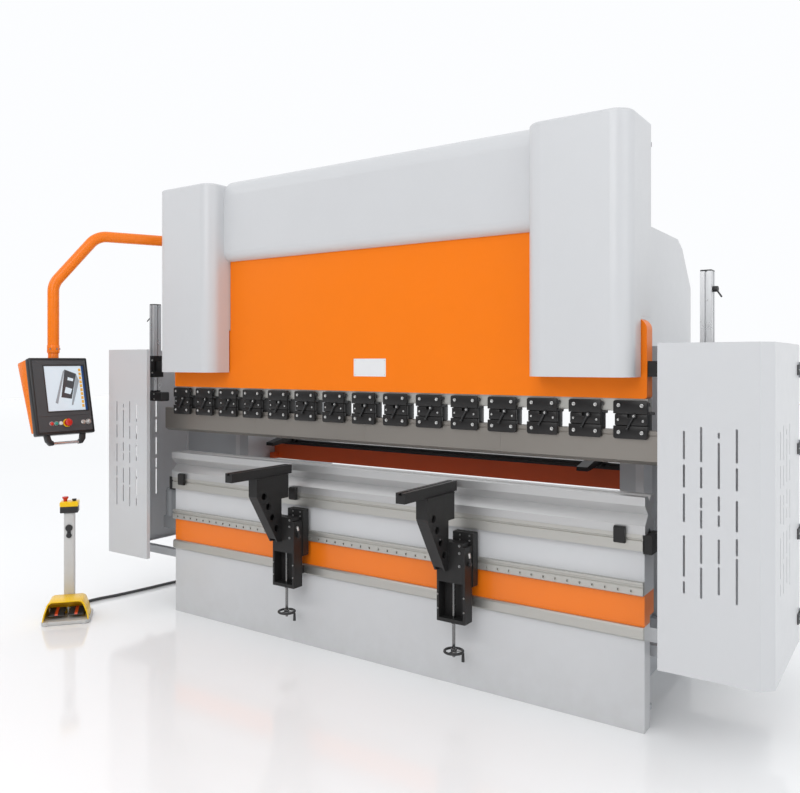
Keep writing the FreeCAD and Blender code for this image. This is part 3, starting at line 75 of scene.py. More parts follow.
# ---- effects shared by the finishes ----
class Effects:
    """Shader node groups, each built once and placed in the finishes that use it."""

    @staticmethod
    def feed(tree: Tree, target: Socket, value: object) -> None:
        """Link a socket to the target, or set the target to a value."""
        if isinstance(value, Socket):
            tree.links.new(value, target)
        else:
            target.default_value = value

    @staticmethod
    def start(name: str, inputs: Dict[str, Optional[float]], output: str) -> Tuple[Tree, dict]:
        """Make an empty group with its sockets.

        Args:
            name: name of the group.
            inputs: default of each input, or None for a vector.
            output: name of the value that comes out.

        Returns:
            The new group and its inputs' sockets by name.
        """
        tree = bpy.data.node_groups.new(name, "ShaderNodeTree")
        for label, default in inputs.items():
            kind = "NodeSocketVector" if default is None else "NodeSocketFloat"
            socket = tree.interface.new_socket(name=label, in_out="INPUT", socket_type=kind)
            if default is not None:
                socket.default_value = default
        tree.interface.new_socket(name=output, in_out="OUTPUT", socket_type="NodeSocketFloat")
        source = tree.nodes.new("NodeGroupInput")
        tree.nodes.new("NodeGroupOutput").name = "out"
        return tree, {label: source.outputs[label] for label in inputs}

    @staticmethod
    def end(tree: Tree, value: Socket) -> None:
        """Put a value out of its group."""
        tree.links.new(value, tree.nodes["out"].inputs[0])

    @staticmethod
    def math(tree: Tree, operation: str, first: object, second: object,
             clamp: bool = False) -> Socket:
        """Add a math node; each operand is a socket or a number."""
        node = tree.nodes.new("ShaderNodeMath")
        node.operation = operation
        node.use_clamp = clamp
        for target, value in zip(node.inputs, (first, second)):
            Effects.feed(tree, target, value)
        return node.outputs[0]

    @staticmethod
    def mix(tree: Tree, factor: Socket, first: object, second: object) -> Socket:
        """Mix two colours, each a socket or a triple, by a factor."""
        node = tree.nodes.new("ShaderNodeMix")
        node.data_type = "RGBA"
        tree.links.new(factor, node.inputs["Factor"])
        for index, colour in ((MIX_FIRST, first), (MIX_SECOND, second)):
            value = colour if isinstance(colour, Socket) else (*colour, 1.0)
            Effects.feed(tree, node.inputs[index], value)
        return node.outputs[MIX_RESULT]

    @staticmethod
    def noise(tree: Tree, vector: Socket, scale: object, detail: float) -> Socket:
        """Add a noise texture and return its value socket."""
        node = tree.nodes.new("ShaderNodeTexNoise")
        node.inputs["Detail"].default_value = detail
        tree.links.new(vector, node.inputs["Vector"])
        Effects.feed(tree, node.inputs["Scale"], scale)
        return node.outputs["Fac"]

    @staticmethod
    def vector(tree: Tree, operation: str, first: Socket, second: Socket) -> bpy.types.Node:
        """Add a vector math node."""
        node = tree.nodes.new("ShaderNodeVectorMath")
        node.operation = operation
        tree.links.new(first, node.inputs[0])
        tree.links.new(second, node.inputs[1])
        return node

    @staticmethod
    def split(tree: Tree, vector: Socket) -> bpy.types.bpy_prop_collection:
        """Return the X, Y and Z sockets of a vector."""
        node = tree.nodes.new("ShaderNodeSeparateXYZ")
        tree.links.new(vector, node.inputs[0])
        return node.outputs

    @staticmethod
    def bump(tree: Tree, height: Socket, strength: float, distance: float) -> None:
        """Bump the material's shader by a height."""
        node = tree.nodes.new("ShaderNodeBump")
        node.inputs["Strength"].default_value = strength
        node.inputs["Distance"].default_value = distance
        tree.links.new(height, node.inputs["Height"])
        tree.links.new(node.outputs["Normal"], tree.nodes["Principled BSDF"].inputs["Normal"])

    @staticmethod
    def get(name: str) -> Tree:
        """Return a group, building it the first time it is asked for."""
        if name not in bpy.data.node_groups:
            getattr(Effects, "build_" + name)()
        return bpy.data.node_groups[name]

    @staticmethod
    def layers(name: str, output: str, scale: float, ratio: float, details: Flat,
               shares: Flat) -> None:
        """Build a group that adds a noise and a second one of another size.

        Args:
            name: name of the group.
            output: name of its output.
            scale: default scale of the first noise.
            ratio: scale of the second noise against the first.
            details: detail of each noise.
            shares: share of each noise.
        """
        tree, source = Effects.start(name, {"Vector": None, "Scale": scale}, output)
        scales = (source["Scale"], Effects.math(tree, "MULTIPLY", source["Scale"], ratio))
        parts = [Effects.math(tree, "MULTIPLY", Effects.noise(tree, source["Vector"], size, detail),
                              share) for size, detail, share in zip(scales, details, shares)]
        Effects.end(tree, Effects.math(tree, "ADD", *parts))

    @staticmethod
    def build_mottle() -> None:
        """Slow cloudiness of tone, as in any coated or handled surface."""
        Effects.layers("mottle", "Value", 6.0, 7.3, (4.0, 5.0), (0.7, 0.3))

    @staticmethod
    def build_peel() -> None:
        """Height of sprayed or powder-coated paint."""
        Effects.layers("peel", "Height", 900.0, 0.18, (2.0, 1.0), (0.6, 0.4))

    @staticmethod
    def build_brushed() -> None:
        """Fine parallel scratches that run along X, Y or Z by the stretch vector."""
        tree, source = Effects.start("brushed", {"Vector": None, "Along X": 4.0,
                                                 "Along Y": 900.0, "Along Z": 900.0}, "Height")
        join = tree.nodes.new("ShaderNodeCombineXYZ")
        for target, label in zip(join.inputs, ("Along X", "Along Y", "Along Z")):
            tree.links.new(source[label], target)
        stretch = Effects.vector(tree, "MULTIPLY", source["Vector"], join.outputs[0])
        Effects.end(tree, Effects.noise(tree, stretch.outputs[0], 1.0, 4.0))

    @staticmethod
    def build_grime() -> None:
        """Mask of dust that thickens towards the floor and breaks up with noise."""
        tree, source = Effects.start("grime", {"Vector": None, "Top": 0.35}, "Mask")
        height = Effects.split(tree, source["Vector"])["Z"]
        share = Effects.math(tree, "DIVIDE", height, source["Top"])
        fade = Effects.math(tree, "SUBTRACT", 1.0, share, True)
        patches = Effects.noise(tree, source["Vector"], 14.0, 6.0)
        Effects.end(tree, Effects.math(tree, "MULTIPLY", Effects.math(tree, "POWER", fade, 2.0),
                                       patches, True))

    @staticmethod
    def build_zone() -> None:
        """Mask that is one between two heights along a direction."""
        tree, source = Effects.start("zone", {"Vector": None, "Direction": None, "Low": 0.0,
                                              "High": 1.0}, "Mask")
        along = Effects.vector(tree, "DOT_PRODUCT", source["Vector"], source["Direction"])
        above, below = (Effects.math(tree, operation, along.outputs["Value"], source[label])
                        for operation, label in (("GREATER_THAN", "Low"), ("LESS_THAN", "High")))
        Effects.end(tree, Effects.math(tree, "MULTIPLY", above, below))


def blank_material(name: str) -> Tuple[bpy.types.Material, Tree, bpy.types.Node]:
    """New material, with its nodes and its shader."""
    made = bpy.data.materials.new(name)
    made.use_nodes = True
    return made, made.node_tree, made.node_tree.nodes["Principled BSDF"]


@dataclass(frozen=True)
class Zone:
    """A band of another colour between two heights along a direction."""

    direction: Point
    low: float
    high: float
    colour: Point


@dataclass(frozen=True)
class Finish:
    """One surface finish, made as a node-based material."""

    name: str
    colour: Point
    slot: str
    roughness: float = 0.4
    metallic: float = 0.0
    tone: float = 0.05
    tone_scale: float = 5.0
    peel: float = 0.0
    peel_scale: float = 900.0
    brush: Optional[Point] = None
    brush_depth: float = 0.15
    grime: float = 0.0
    coat: float = 0.0
    specular: float = 0.5
    zones: Tuple[Zone, ...] = ()
    glow: float = 0.0

    def material(self) -> bpy.types.Material:
        """Build the material, or return the one made before."""
        known = bpy.data.materials.get(self.name)
        if known:
            return known
        made, tree, shader = blank_material(self.name)
        for label, value in (("Metallic", self.metallic), ("Coat Weight", self.coat),
                             ("Coat Roughness", COAT_ROUGHNESS),
                             ("Specular IOR Level", self.specular)):
            shader.inputs[label].default_value = value
        place = tree.nodes.new("ShaderNodeTexCoord").outputs["Object"]
        self._colour(tree, shader, place)
        self._surface(tree, shader, place)
        return made

    @staticmethod
    def _group(tree: Tree, name: str, place: Socket, values: Dict[str, object]) -> Socket:
        """Place an effect in the material and return its output."""
        node = tree.nodes.new("ShaderNodeGroup")
        node.node_tree = Effects.get(name)
        tree.links.new(place, node.inputs["Vector"])
        for label, value in values.items():
            node.inputs[label].default_value = value
        return node.outputs[0]

    def _colour(self, tree: Tree, shader: bpy.types.Node, place: Socket) -> None:
        """Tone, coloured zones and grime, into Base Color."""
        cloud = self._group(tree, "mottle", place, {"Scale": self.tone_scale})
        dark = tuple(c * (1.0 - 2.2 * self.tone) for c in self.colour)
        light = tuple(min(1.0, c * (1.0 + 1.4 * self.tone)) for c in self.colour)
        shade = Effects.mix(tree, cloud, dark, light)
        for zone in self.zones:
            mask = self._group(tree, "zone", place, {"Direction": zone.direction,
                                                     "Low": zone.low, "High": zone.high})
            shade = Effects.mix(tree, mask, shade, zone.colour)
        if self.grime:
            dust = self._group(tree, "grime", place, {"Top": DUST_TOP})
            shade = Effects.mix(tree, Effects.math(tree, "MULTIPLY", dust, self.grime), shade, DUST)
        tree.links.new(shade, shader.inputs["Base Color"])
        if self.glow:
            tree.links.new(shade, shader.inputs["Emission Color"])
            shader.inputs["Emission Strength"].default_value = self.glow

    def _surface(self, tree: Tree, shader: bpy.types.Node, place: Socket) -> None:
        """Roughness that varies a little, and the bump of the finish."""
        smear = self._group(tree, "mottle", place, {"Scale": self.tone_scale * 3.1})
        spread = Effects.math(tree, "MULTIPLY", Effects.math(tree, "SUBTRACT", smear, 0.5), 0.25)
        level = Effects.math(tree, "ADD", spread, self.roughness, True)
        tree.links.new(level, shader.inputs["Roughness"])
        if self.brush:
            stretch = dict(zip(("Along X", "Along Y", "Along Z"), self.brush))
            height = self._group(tree, "brushed", place, stretch)
            Effects.bump(tree, height, self.brush_depth, BUMP_DISTANCE)
        elif self.peel:
            height = self._group(tree, "peel", place, {"Scale": self.peel_scale})
            Effects.bump(tree, height, self.peel, BUMP_DISTANCE)


UP = (0, 0, 1)
ORANGE = (0.93, 0.205, 0.006)
WHITE = (0.62, 0.63, 0.645)
BLACK = (0.016, 0.016, 0.017)
ALONG_X = (3.0, 700.0, 700.0)
ALONG_Z = (700.0, 700.0, 3.0)
GLOSS = {"roughness": 0.22, "tone": 0.04, "tone_scale": 40.0, "peel": 0.05, "coat": 0.5}

SHEET_WHITE = Finish("light_powder_coat", WHITE, "white_paint", roughness=0.34, tone=0.012,
                     peel=0.10, coat=0.25)
BED_WHITE = Finish("bed_paint", WHITE, "white_paint", roughness=0.36, tone=0.014, peel=0.12,
                   grime=0.35, coat=0.2, zones=(Zone(UP, 0.472, 0.612, ORANGE),))
FRAME_GREY = Finish("frame_paint", (0.23, 0.245, 0.26), "frame_paint", roughness=0.42, tone=0.03,
                    peel=0.2, grime=0.4)
RAM_ORANGE = Finish("ram_paint", ORANGE, "orange_paint", roughness=0.34, tone=0.012, peel=0.10,
                    specular=0.22)
TUBE_ORANGE = Finish("arm_paint", ORANGE, "orange_paint", roughness=0.27, tone=0.01, peel=0.08,
                     coat=0.15, specular=0.3)
# Back gauge beam: the ram's orange paint painted darker and redder, a painted shade for the beam's
# place in the throat under the ram.
GAUGE_ORANGE_SHADED = Finish("gauge_paint_shaded", (0.62, 0.09, 0.015), "orange_paint", roughness=0.4,
                      tone=0.04, peel=0.12, zones=(Zone(UP, 1.062, 1.2, BLACK),))
TEXTURED_BLACK = Finish("textured_black", (0.017, 0.0165, 0.0165), "black_paint",
                        roughness=0.45, tone=0.08, peel=0.5, peel_scale=1400.0, specular=0.35)
GUIDE_STEEL = Finish("guide_steel", (0.31, 0.30, 0.28), "guide_steel", roughness=0.38,
                     metallic=0.85, tone=0.05, brush=ALONG_X, brush_depth=0.25, grime=0.2)
DIE_STEEL = Finish("die_steel", (0.37, 0.36, 0.345), "die_steel", roughness=0.26, metallic=1.0,
                   tone=0.05, brush=ALONG_X, brush_depth=0.3)
PUNCH_STEEL = Finish("punch_steel", (0.255, 0.235, 0.205), "punch_steel", roughness=0.42,
                     metallic=0.6, tone=0.06, brush=ALONG_X, brush_depth=0.18)
HARD_CHROME = Finish("hard_chrome", (0.72, 0.72, 0.74), "rod_chrome", roughness=0.12,
                     metallic=1.0, tone=0.02, brush=ALONG_Z, brush_depth=0.05)
CAST_GREY = Finish("cast_grey", (0.20, 0.21, 0.22), "cast_grey", roughness=0.5, tone=0.06,
                   peel=0.6, peel_scale=500.0)
ANODISED = Finish("anodised_post", (0.66, 0.67, 0.68), "post_aluminium", roughness=0.3,
                  metallic=0.9, tone=0.03, brush=ALONG_Z, brush_depth=0.15)
ZINC = Finish("zinc_fittings", (0.60, 0.60, 0.59), "bolt_steel", roughness=0.28, metallic=1.0,
              tone=0.06, tone_scale=60.0, peel=0.1)
MOULDED_BLACK = Finish("moulded_black", (0.02, 0.02, 0.021), "black_plastic", roughness=0.42,
                       tone=0.08, peel=0.35, peel_scale=2200.0)
RED_GLOSS = Finish("red_gloss", (0.62, 0.018, 0.012), "red_plastic", **GLOSS)
GREEN_GLOSS = Finish("green_gloss", (0.01, 0.30, 0.24), "green_plastic", **GLOSS)
WHITE_GLOSS = Finish("white_gloss", (0.78, 0.78, 0.76), "white_plastic",
                     **{**GLOSS, "tone": 0.03})
YELLOW_GLOSS = Finish("yellow_gloss", (0.98, 0.60, 0.004), "yellow_plastic", roughness=0.3,
                      tone=0.03, tone_scale=20.0, peel=0.2, coat=0.1, specular=0.3)
BASE_GREY = Finish("station_casting", (0.60, 0.60, 0.59), "base_plastic", roughness=0.4,
                   tone=0.03, tone_scale=20.0, peel=0.3, grime=0.3)
CLAMP_BLACK = Finish("clamp_black", (0.014, 0.013, 0.013), "black_paint", roughness=0.34,
                     tone=0.08, peel=0.12, peel_scale=1800.0, coat=0.05, specular=0.35)
PLATE_WHITE = Finish("plate_white", (0.78, 0.79, 0.80), "white_paint", roughness=0.38,
                     tone=0.01, tone_scale=30.0, peel=0.04)
SCREW_STEEL = Finish("screw_steel", (0.20, 0.20, 0.20), "bolt_steel", roughness=0.24,
                     metallic=1.0, tone=0.04, tone_scale=40.0, brush=(700.0, 700.0, 700.0),
                     brush_depth=0.05)
DARK_SCREW = Finish("dark_screw", (0.30, 0.30, 0.30), "bolt_steel", roughness=0.35, metallic=1.0,
                    tone=0.06, tone_scale=60.0, peel=0.1)
PANEL_BLACK = Finish("panel_black", (0.012, 0.012, 0.013), "black_paint", roughness=0.33,
                     tone=0.06, peel=0.2, peel_scale=1600.0, coat=0.2)
PANEL_GREY = Finish("panel_grey", (0.060, 0.062, 0.066), "black_paint", roughness=0.42,
                    tone=0.05, peel=0.25, peel_scale=2000.0)
STRIP_RED = Finish("strip_red", (0.70, 0.075, 0.02), "red_plastic", roughness=0.35, tone=0.05,
                   tone_scale=60.0, peel=0.2)
SCREEN_LIGHT, SCREEN_BLUE, SCREEN_AMBER, SCREEN_DARK, SCREEN_GREY = (
    Finish("screen_" + tint, colour, "screen_glass", roughness=0.12, tone=tone,
           tone_scale=scale, glow=glow)
    for tint, colour, tone, scale, glow in (
        ("light", (0.60, 0.68, 0.74), 0.02, 5.0, 0.30),
        ("blue", (0.010, 0.045, 0.16), 0.02, 5.0, 0.25),
        ("amber", (0.70, 0.36, 0.04), 0.05, 150.0, 0.25),
        ("dark", (0.055, 0.060, 0.068), 0.10, 60.0, 0.1),
        ("grey", (0.28, 0.31, 0.34), 0.05, 60.0, 0.2)))

# finish of each CAD node that keeps its own shape
CAD_FINISHES: Tuple[Tuple[Finish, str], ...] = (
    (FRAME_GREY, "side_frames oil_tank guard_frames electrical_cabinet cabinet_door"),
    (SHEET_WHITE, "side_covers cylinder_cover_right cylinder_cover_left top_fairing "
                  "guard_door_right guard_door_left"),
    (GUIDE_STEEL, "ram_guides support_rails die_holder clamp_holder gauge_rails"),
    (BED_WHITE, "bed_beam"), (DIE_STEEL, "die_block"), (HARD_CHROME, "piston_rods"),
    (CAST_GREY, "crowning_drive hydraulic_cylinders pump_unit"), (RAM_ORANGE, "ram_beam"),
    # gauge_beam wears the orange paint painted darker, as painted shade
    (PUNCH_STEEL, "punches"), (TUBE_ORANGE, "control_arm"), (GAUGE_ORANGE_SHADED, "gauge_beam"),
    (TEXTURED_BLACK, "die_clamps laser_brackets arm_bracket gauge_finger_left "
                     "gauge_finger_right support_carriage_left support_carriage_right "
                     "support_arm_left support_arm_right"),
)


# ---- modelling bench ----
class Bench:
    """Hand-modelling steps that every sub-assembly uses."""

    @staticmethod
    def take(*pieces: Piece) -> None:
        """Leave edit mode and select only these pieces, with the first one active."""
        if bpy.context.object and bpy.context.object.mode != "OBJECT":
            bpy.ops.object.mode_set(mode="OBJECT")
        bpy.ops.object.select_all(action="DESELECT")
        for piece in pieces:
            piece.select_set(True)
        if pieces:
            bpy.context.view_layer.objects.active = pieces[0]

    @staticmethod
    def new(name: str) -> Piece:
        """Name the object just added, and apply its place, turn and scale."""
        piece = bpy.context.object
        piece.name = name
        Bench.take(piece)
        bpy.ops.object.transform_apply(location=True, rotation=True, scale=True)
        return piece

    @staticmethod
    def pick_faces(piece: Piece, wanted: Callable[[bmesh.types.BMFace], bool]) -> None:
        """Enter edit mode with only the wanted faces selected."""
        Bench.take(piece)
        bpy.ops.object.mode_set(mode="EDIT")
        bpy.ops.mesh.select_mode(type="FACE")
        bpy.ops.mesh.select_all(action="DESELECT")
        shape = bmesh.from_edit_mesh(piece.data)
        for face in shape.faces:
            if wanted(face):
                face.select_set(True)
        shape.select_flush_mode()
        bmesh.update_edit_mesh(piece.data)

    @staticmethod
    def sink_front(piece: Piece, margin: float, depth: float) -> None:
        """Inset the front-facing faces and push them in."""
        Bench.pick_faces(piece, lambda face: face.normal.y < FRONT_FACING)
        bpy.ops.mesh.inset(thickness=margin)
        bpy.ops.mesh.extrude_region_move(TRANSFORM_OT_translate={"value": (0, depth, 0)})
        bpy.ops.object.mode_set(mode="OBJECT")

    @staticmethod
    def bevel(piece: Piece, width: float, segments: int = 2, angle: float = 30.0) -> Piece:
        """Round the sharp edges with an applied Bevel modifier, if the width isn't zero."""
        if width:
            Bench.take(piece)
            step = piece.modifiers.new("soft edges", "BEVEL")
            step.width = width
            step.segments = segments
            step.limit_method = "ANGLE"
            step.angle_limit = math.radians(angle)
            bpy.ops.object.modifier_apply(modifier=step.name)
        return piece

    @staticmethod
    def smooth(piece: Piece, angle: float = 30.0) -> Piece:
        """Shade smooth up to an angle."""
        Bench.take(piece)
        bpy.ops.object.shade_smooth_by_angle(angle=math.radians(angle))
        return piece

    @staticmethod
    def block(name: str, low: Sequence[float], high: Sequence[float], edge: float = 0.0,
              segments: int = 2) -> Piece:
        """Rectangular piece between two corners.

        Args:
            name: name of the piece.
            low: lowest corner.
            high: highest corner.
            edge: width of the bevel, or zero.
            segments: steps of the bevel.

        Returns:
            The new piece.
        """
        Bench.take()
        first, last = Vector(low), Vector(high)
        bpy.ops.mesh.primitive_cube_add(size=1.0, location=(first + last) / 2)
        bpy.context.object.scale = last - first
        return Bench.bevel(Bench.new(name), edge, segments)

    @staticmethod
    def barrel(name: str, start: Sequence[float], end: Sequence[float], radius: float,
               sides: int = 24, edge: float = 0.0, tip: Optional[float] = None) -> Piece:
        """Round bar or cone between two points.

        Args:
            name: name of the piece.
            start: centre of the first end.
            end: centre of the second end.
            radius: radius at the first end.
            sides: number of sides.
            edge: width of the bevel on the rims, or zero.
            tip: radius at the second end, if it differs.

        Returns:
            The new piece.
        """
        Bench.take()
        first, last = Vector(start), Vector(end)
        run = last - first
        bpy.ops.mesh.primitive_cone_add(vertices=sides, radius1=radius,
                                        radius2=radius if tip is None else tip,
                                        depth=run.length, location=(first + last) / 2)
        bpy.context.object.rotation_euler = run.to_track_quat("Z", "Y").to_euler()
        return Bench.smooth(Bench.bevel(Bench.new(name), edge, 2, 50.0), 35.0)

    @staticmethod
    def profile(name: str, points: Sequence[Flat], axis: Axis, low: float, high: float,
                edge: float = 0.0, segments: int = 2) -> Piece:
        """Outline drawn out along an axis by an extrude in edit mode.

        Args:
            name: name of the piece.
            points: outline in the two other axes, in X, Y, Z order.
            axis: direction of the extrusion.
            low: where it starts.
            high: where it ends.
            edge: width of the bevel, or zero.
            segments: steps of the bevel.

        Returns:
            The new piece.
        """
        Bench.take()
        bpy.ops.mesh.primitive_circle_add(vertices=len(points), radius=1.0, fill_type="NGON")
        for vertex, flat in zip(bpy.context.object.data.vertices, points):
            spot = list(flat)
            spot.insert(axis.value, low)
            vertex.co = spot
        bpy.ops.object.mode_set(mode="EDIT")
        bpy.ops.mesh.select_all(action="SELECT")
        travel = [0.0, 0.0, 0.0]
        travel[axis.value] = high - low
        bpy.ops.mesh.extrude_region_move(TRANSFORM_OT_translate={"value": travel})
        bpy.ops.mesh.select_all(action="SELECT")
        bpy.ops.mesh.normals_make_consistent(inside=False)
        bpy.ops.object.mode_set(mode="OBJECT")
        return Bench.bevel(Bench.new(name), edge, segments)

    @staticmethod
    def cut(piece: Piece, cutters: Iterable[Piece]) -> Piece:
        """Take cutters out of a piece with applied Boolean modifiers."""
        for cutter in cutters:
            Bench.take(piece)
            step = piece.modifiers.new("cut", "BOOLEAN")
            step.operation = "DIFFERENCE"
            step.solver = "EXACT"
            step.object = cutter
            bpy.ops.object.modifier_apply(modifier=step.name)
            bpy.data.objects.remove(cutter)
        return piece

    @staticmethod
    def join(name: str, pieces: Sequence[Piece]) -> Piece:
        """Join pieces into one object."""
        Bench.take(*pieces)
        if len(pieces) > 1:
            bpy.ops.object.join()
        pieces[0].name = name
        return pieces[0]

    @staticmethod
    def copies(piece: Piece, matrices: Iterable[Matrix]) -> List[Piece]:
        """Copy a piece, with its own mesh, to several places and remove the first one."""
        made = []
        for matrix in matrices:
            twin = piece.copy()
            twin.data = piece.data.copy()
            bpy.context.scene.collection.objects.link(twin)
            twin.data.transform(matrix)
            made.append(twin)
        bpy.data.objects.remove(piece)
        return made

    @staticmethod
    def dress(piece: Piece, body: str, finish: Finish, *replaces: str) -> None:
        """Give a piece its finish, its body and the nodes that it stands for."""
        piece.data.materials.clear()
        piece.data.materials.append(finish.material())
        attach(piece, body)
        if replaces:
            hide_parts(*replaces)
        LOG.info("%s rides on %s", piece.name, body)


def corners(node: str) -> Tuple[Vector, Vector]:
    """Lowest and highest corner of a node of the frame."""
    low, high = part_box(node)
    return Vector(low), Vector(high)


def joint_place(name: str) -> Point:
    """Place of a joint of the frame."""
    joints = frame["record"]["behaviour"]["joints"]
    return next(tuple(joint["pos_m"]) for joint in joints if joint["name"] == name)


def shift(*step: float) -> Matrix:
    """Matrix that moves by a step."""
    return Matrix.Translation(Vector(step))


def spin(degrees: float, axis: str = "Z") -> Matrix:
    """Matrix that turns about an axis."""
    return Matrix.Rotation(math.radians(degrees), 4, axis)


# ---- studio ----
@dataclass
class Studio:
    """Camera, floor and lights, none of which is part of the machine."""

    camera_place: Point = (2.60277, -3.53015, 1.65099)
    camera_turn: float = 34.05
    lens: float = 35.405
    sensor: float = 36.0
    shift_y: float = -0.04438
    reach: float = 60.0
    floor_colour: Point = (0.95, 0.955, 0.96)
    floor_roughness: float = 0.10
    floor_drop: float = 0.0005
    room: Point = (0.975, 0.985, 1.0)
    band: Point = (0.30, 0.30, 0.31)
    band_height: float = 0.10
    band_width: float = 0.30
    band_core: float = 0.35
    near_side: Flat = (0.05, -0.35)

    def set_camera(self) -> None:
        """Place the camera at the viewing angle."""
        data = bpy.data.cameras.new("view")
        data.lens = self.lens
        data.sensor_width = self.sensor
        data.shift_y = self.shift_y
        data.clip_end = self.reach
        camera = bpy.data.objects.new("view", data)
        camera.location = self.camera_place
        camera.rotation_euler = (math.radians(90.0), 0.0, math.radians(self.camera_turn))
        bpy.context.scene.collection.objects.link(camera)
        bpy.context.scene.camera = camera

    def build_floor(self) -> None:
        """Pale, slightly glossy floor."""
        Bench.take()
        bpy.ops.mesh.primitive_plane_add(size=self.reach, location=(0.0, 0.0, -self.floor_drop))
        floor = bpy.context.object
        floor.name = "floor"
        made, _, shader = blank_material("pale_floor")
        shader.inputs["Base Color"].default_value = (*self.floor_colour, 1.0)
        shader.inputs["Roughness"].default_value = self.floor_roughness
        floor.data.materials.append(made)

    @staticmethod
    def light(name: str, place: Point, target: Point, size: float, power: float) -> None:
        """Add one soft lamp that points at a target."""
        data = bpy.data.lights.new(name, "AREA")
        data.shape = "SQUARE"
        data.size = size
        data.energy = power
        lamp = bpy.data.objects.new(name, data)
        lamp.location = place
        lamp.rotation_euler = (Vector(target) - Vector(place)).to_track_quat("-Z", "Y").to_euler()
        bpy.context.scene.collection.objects.link(lamp)

    @staticmethod
    def ramp(tree: Tree, value: Socket, start: float, end: float) -> Socket:
        """Smooth step of a value: zero at the start and one at the end."""
        node = tree.nodes.new("ShaderNodeMapRange")
        node.interpolation_type = "SMOOTHSTEP"
        node.inputs["From Min"].default_value = start
        node.inputs["From Max"].default_value = end
        tree.links.new(value, node.inputs["Value"])
        return node.outputs["Result"]

    def shade_room(self, tree: Tree, sky: bpy.types.Node) -> None:
        """White room with a dim band on the viewer's side, so that steel shows its shape.

        Args:
            tree: the world's nodes.
            sky: its background.
        """
        way = Effects.split(tree, tree.nodes.new("ShaderNodeTexCoord").outputs["Generated"])
        near = self.ramp(tree, way["Y"], *self.near_side)
        off = Effects.math(tree, "SUBTRACT", way["Z"], self.band_height)
        level = self.ramp(tree, Effects.math(tree, "ABSOLUTE", off, 0.0), self.band_width,
                          self.band_width * self.band_core)
        shade = Effects.mix(tree, Effects.math(tree, "MULTIPLY", near, level), self.room, self.band)
        seen = tree.nodes.new("ShaderNodeLightPath").outputs["Is Camera Ray"]
        tree.links.new(Effects.mix(tree, seen, shade, self.room), sky.inputs["Color"])
        sky.inputs["Strength"].default_value = 1.0

    def build_lights(self) -> None:
        """Plain soft studio light."""
        world = bpy.data.worlds.new("studio")
        world.use_nodes = True
        self.shade_room(world.node_tree, world.node_tree.nodes["Background"])
        bpy.context.scene.world = world
        self.light("front soft box", (1.5, -7.0, 5.0), (0.0, 0.0, 1.2), 5.0, 165.0)
        self.light("left soft box", (-6.5, -4.0, 4.5), (-0.5, 0.0, 1.2), 4.0, 30.0)
        self.light("right soft box", (7.0, -2.0, 4.0), (1.0, 0.0, 1.3), 4.0, 45.0)
        bpy.context.scene.view_settings.view_transform = "Standard"


# ---- pedal cable ----
STATION_FRONT: Flat = (-1.880, -0.631)
STATION_TURN = 49.7


@dataclass
class PedalCable:
    """Corrugated cable on the floor between the foot station and the left frame."""

    length: float = 1.69
    diameter: float = 0.020
    height: float = 0.0105
    gland_depth: float = 0.274
    lead: float = 0.060
    rib_pitch: float = 0.004
    inlet: Flat = (-1.440, 0.800)
    route: Tuple[Flat, ...] = (
        (-2.157, -0.340), (-2.171, -0.261), (-2.158, -0.177), (-2.128, -0.081), (-2.108, 0.030),
        (-2.087, 0.150), (-2.072, 0.270), (-2.055, 0.390), (-2.030, 0.500), (-1.978, 0.606),
        (-1.888, 0.684), (-1.770, 0.738), (-1.645, 0.776), (-1.535, 0.800),
    )

    def station_point(self, depth: float) -> Point:
        """Point behind the foot station's front, at the cable's height."""
        turn = math.radians(STATION_TURN)
        x, y = STATION_FRONT
        return (x - depth * math.sin(turn), y + depth * math.cos(turn), self.height)

    def build(self) -> None:
        """Lay the cable as one smooth spline, from the foot station to the frame."""
        points = [self.station_point(depth)
                  for depth in (self.gland_depth, self.gland_depth + self.lead)]
        points += [(x, y, self.height) for x, y in (*self.route, self.inlet)]
        data = bpy.data.curves.new("pedal_cable_line", "CURVE")
        data.dimensions = "3D"
        line = data.splines.new("NURBS")
        line.points.add(len(points) - 1)
        for spot, place in zip(line.points, points):
            spot.co = (*place, 1.0)
        line.order_u = 3
        line.use_endpoint_u = True
        line.resolution_u = 12
        data.bevel_depth = self.diameter / 2
        data.bevel_resolution = 4
        data.use_fill_caps = True
        cable = bpy.data.objects.new("pedal_cable_sheath", data)
        bpy.context.scene.collection.objects.link(cable)
        data.materials.append(self.sheath())
        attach(cable, "frame")
        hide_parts("pedal_cable")

    def sheath(self) -> bpy.types.Material:
        """Black corrugated sheath: rings follow the cable's own UV, with a painted highlight on the
        crests and painted shade in the grooves.
        """
        made, tree, shader = blank_material("corrugated_sheath")
        along = Effects.split(tree, tree.nodes.new("ShaderNodeTexCoord").outputs["UV"])["X"]
        turns = Effects.math(tree, "MULTIPLY", along, self.length / self.rib_pitch * 2 * math.pi)
        rings = Effects.math(tree, "SINE", turns, 0.0)
        lifted = Effects.math(tree, "MULTIPLY", Effects.math(tree, "ADD", rings, 1.0), 0.5)
        # Crests painted lighter and grooves darker: a painted highlight and painted shade that
        # follow the ribs; the same rings also drive the bump.
        tone = Effects.mix(tree, lifted, (0.012, 0.012, 0.013), (0.11, 0.11, 0.115))
        tree.links.new(tone, shader.inputs["Base Color"])
        shader.inputs["Roughness"].default_value = 0.45
        Effects.bump(tree, lifted, 0.7, 0.002)
        return made


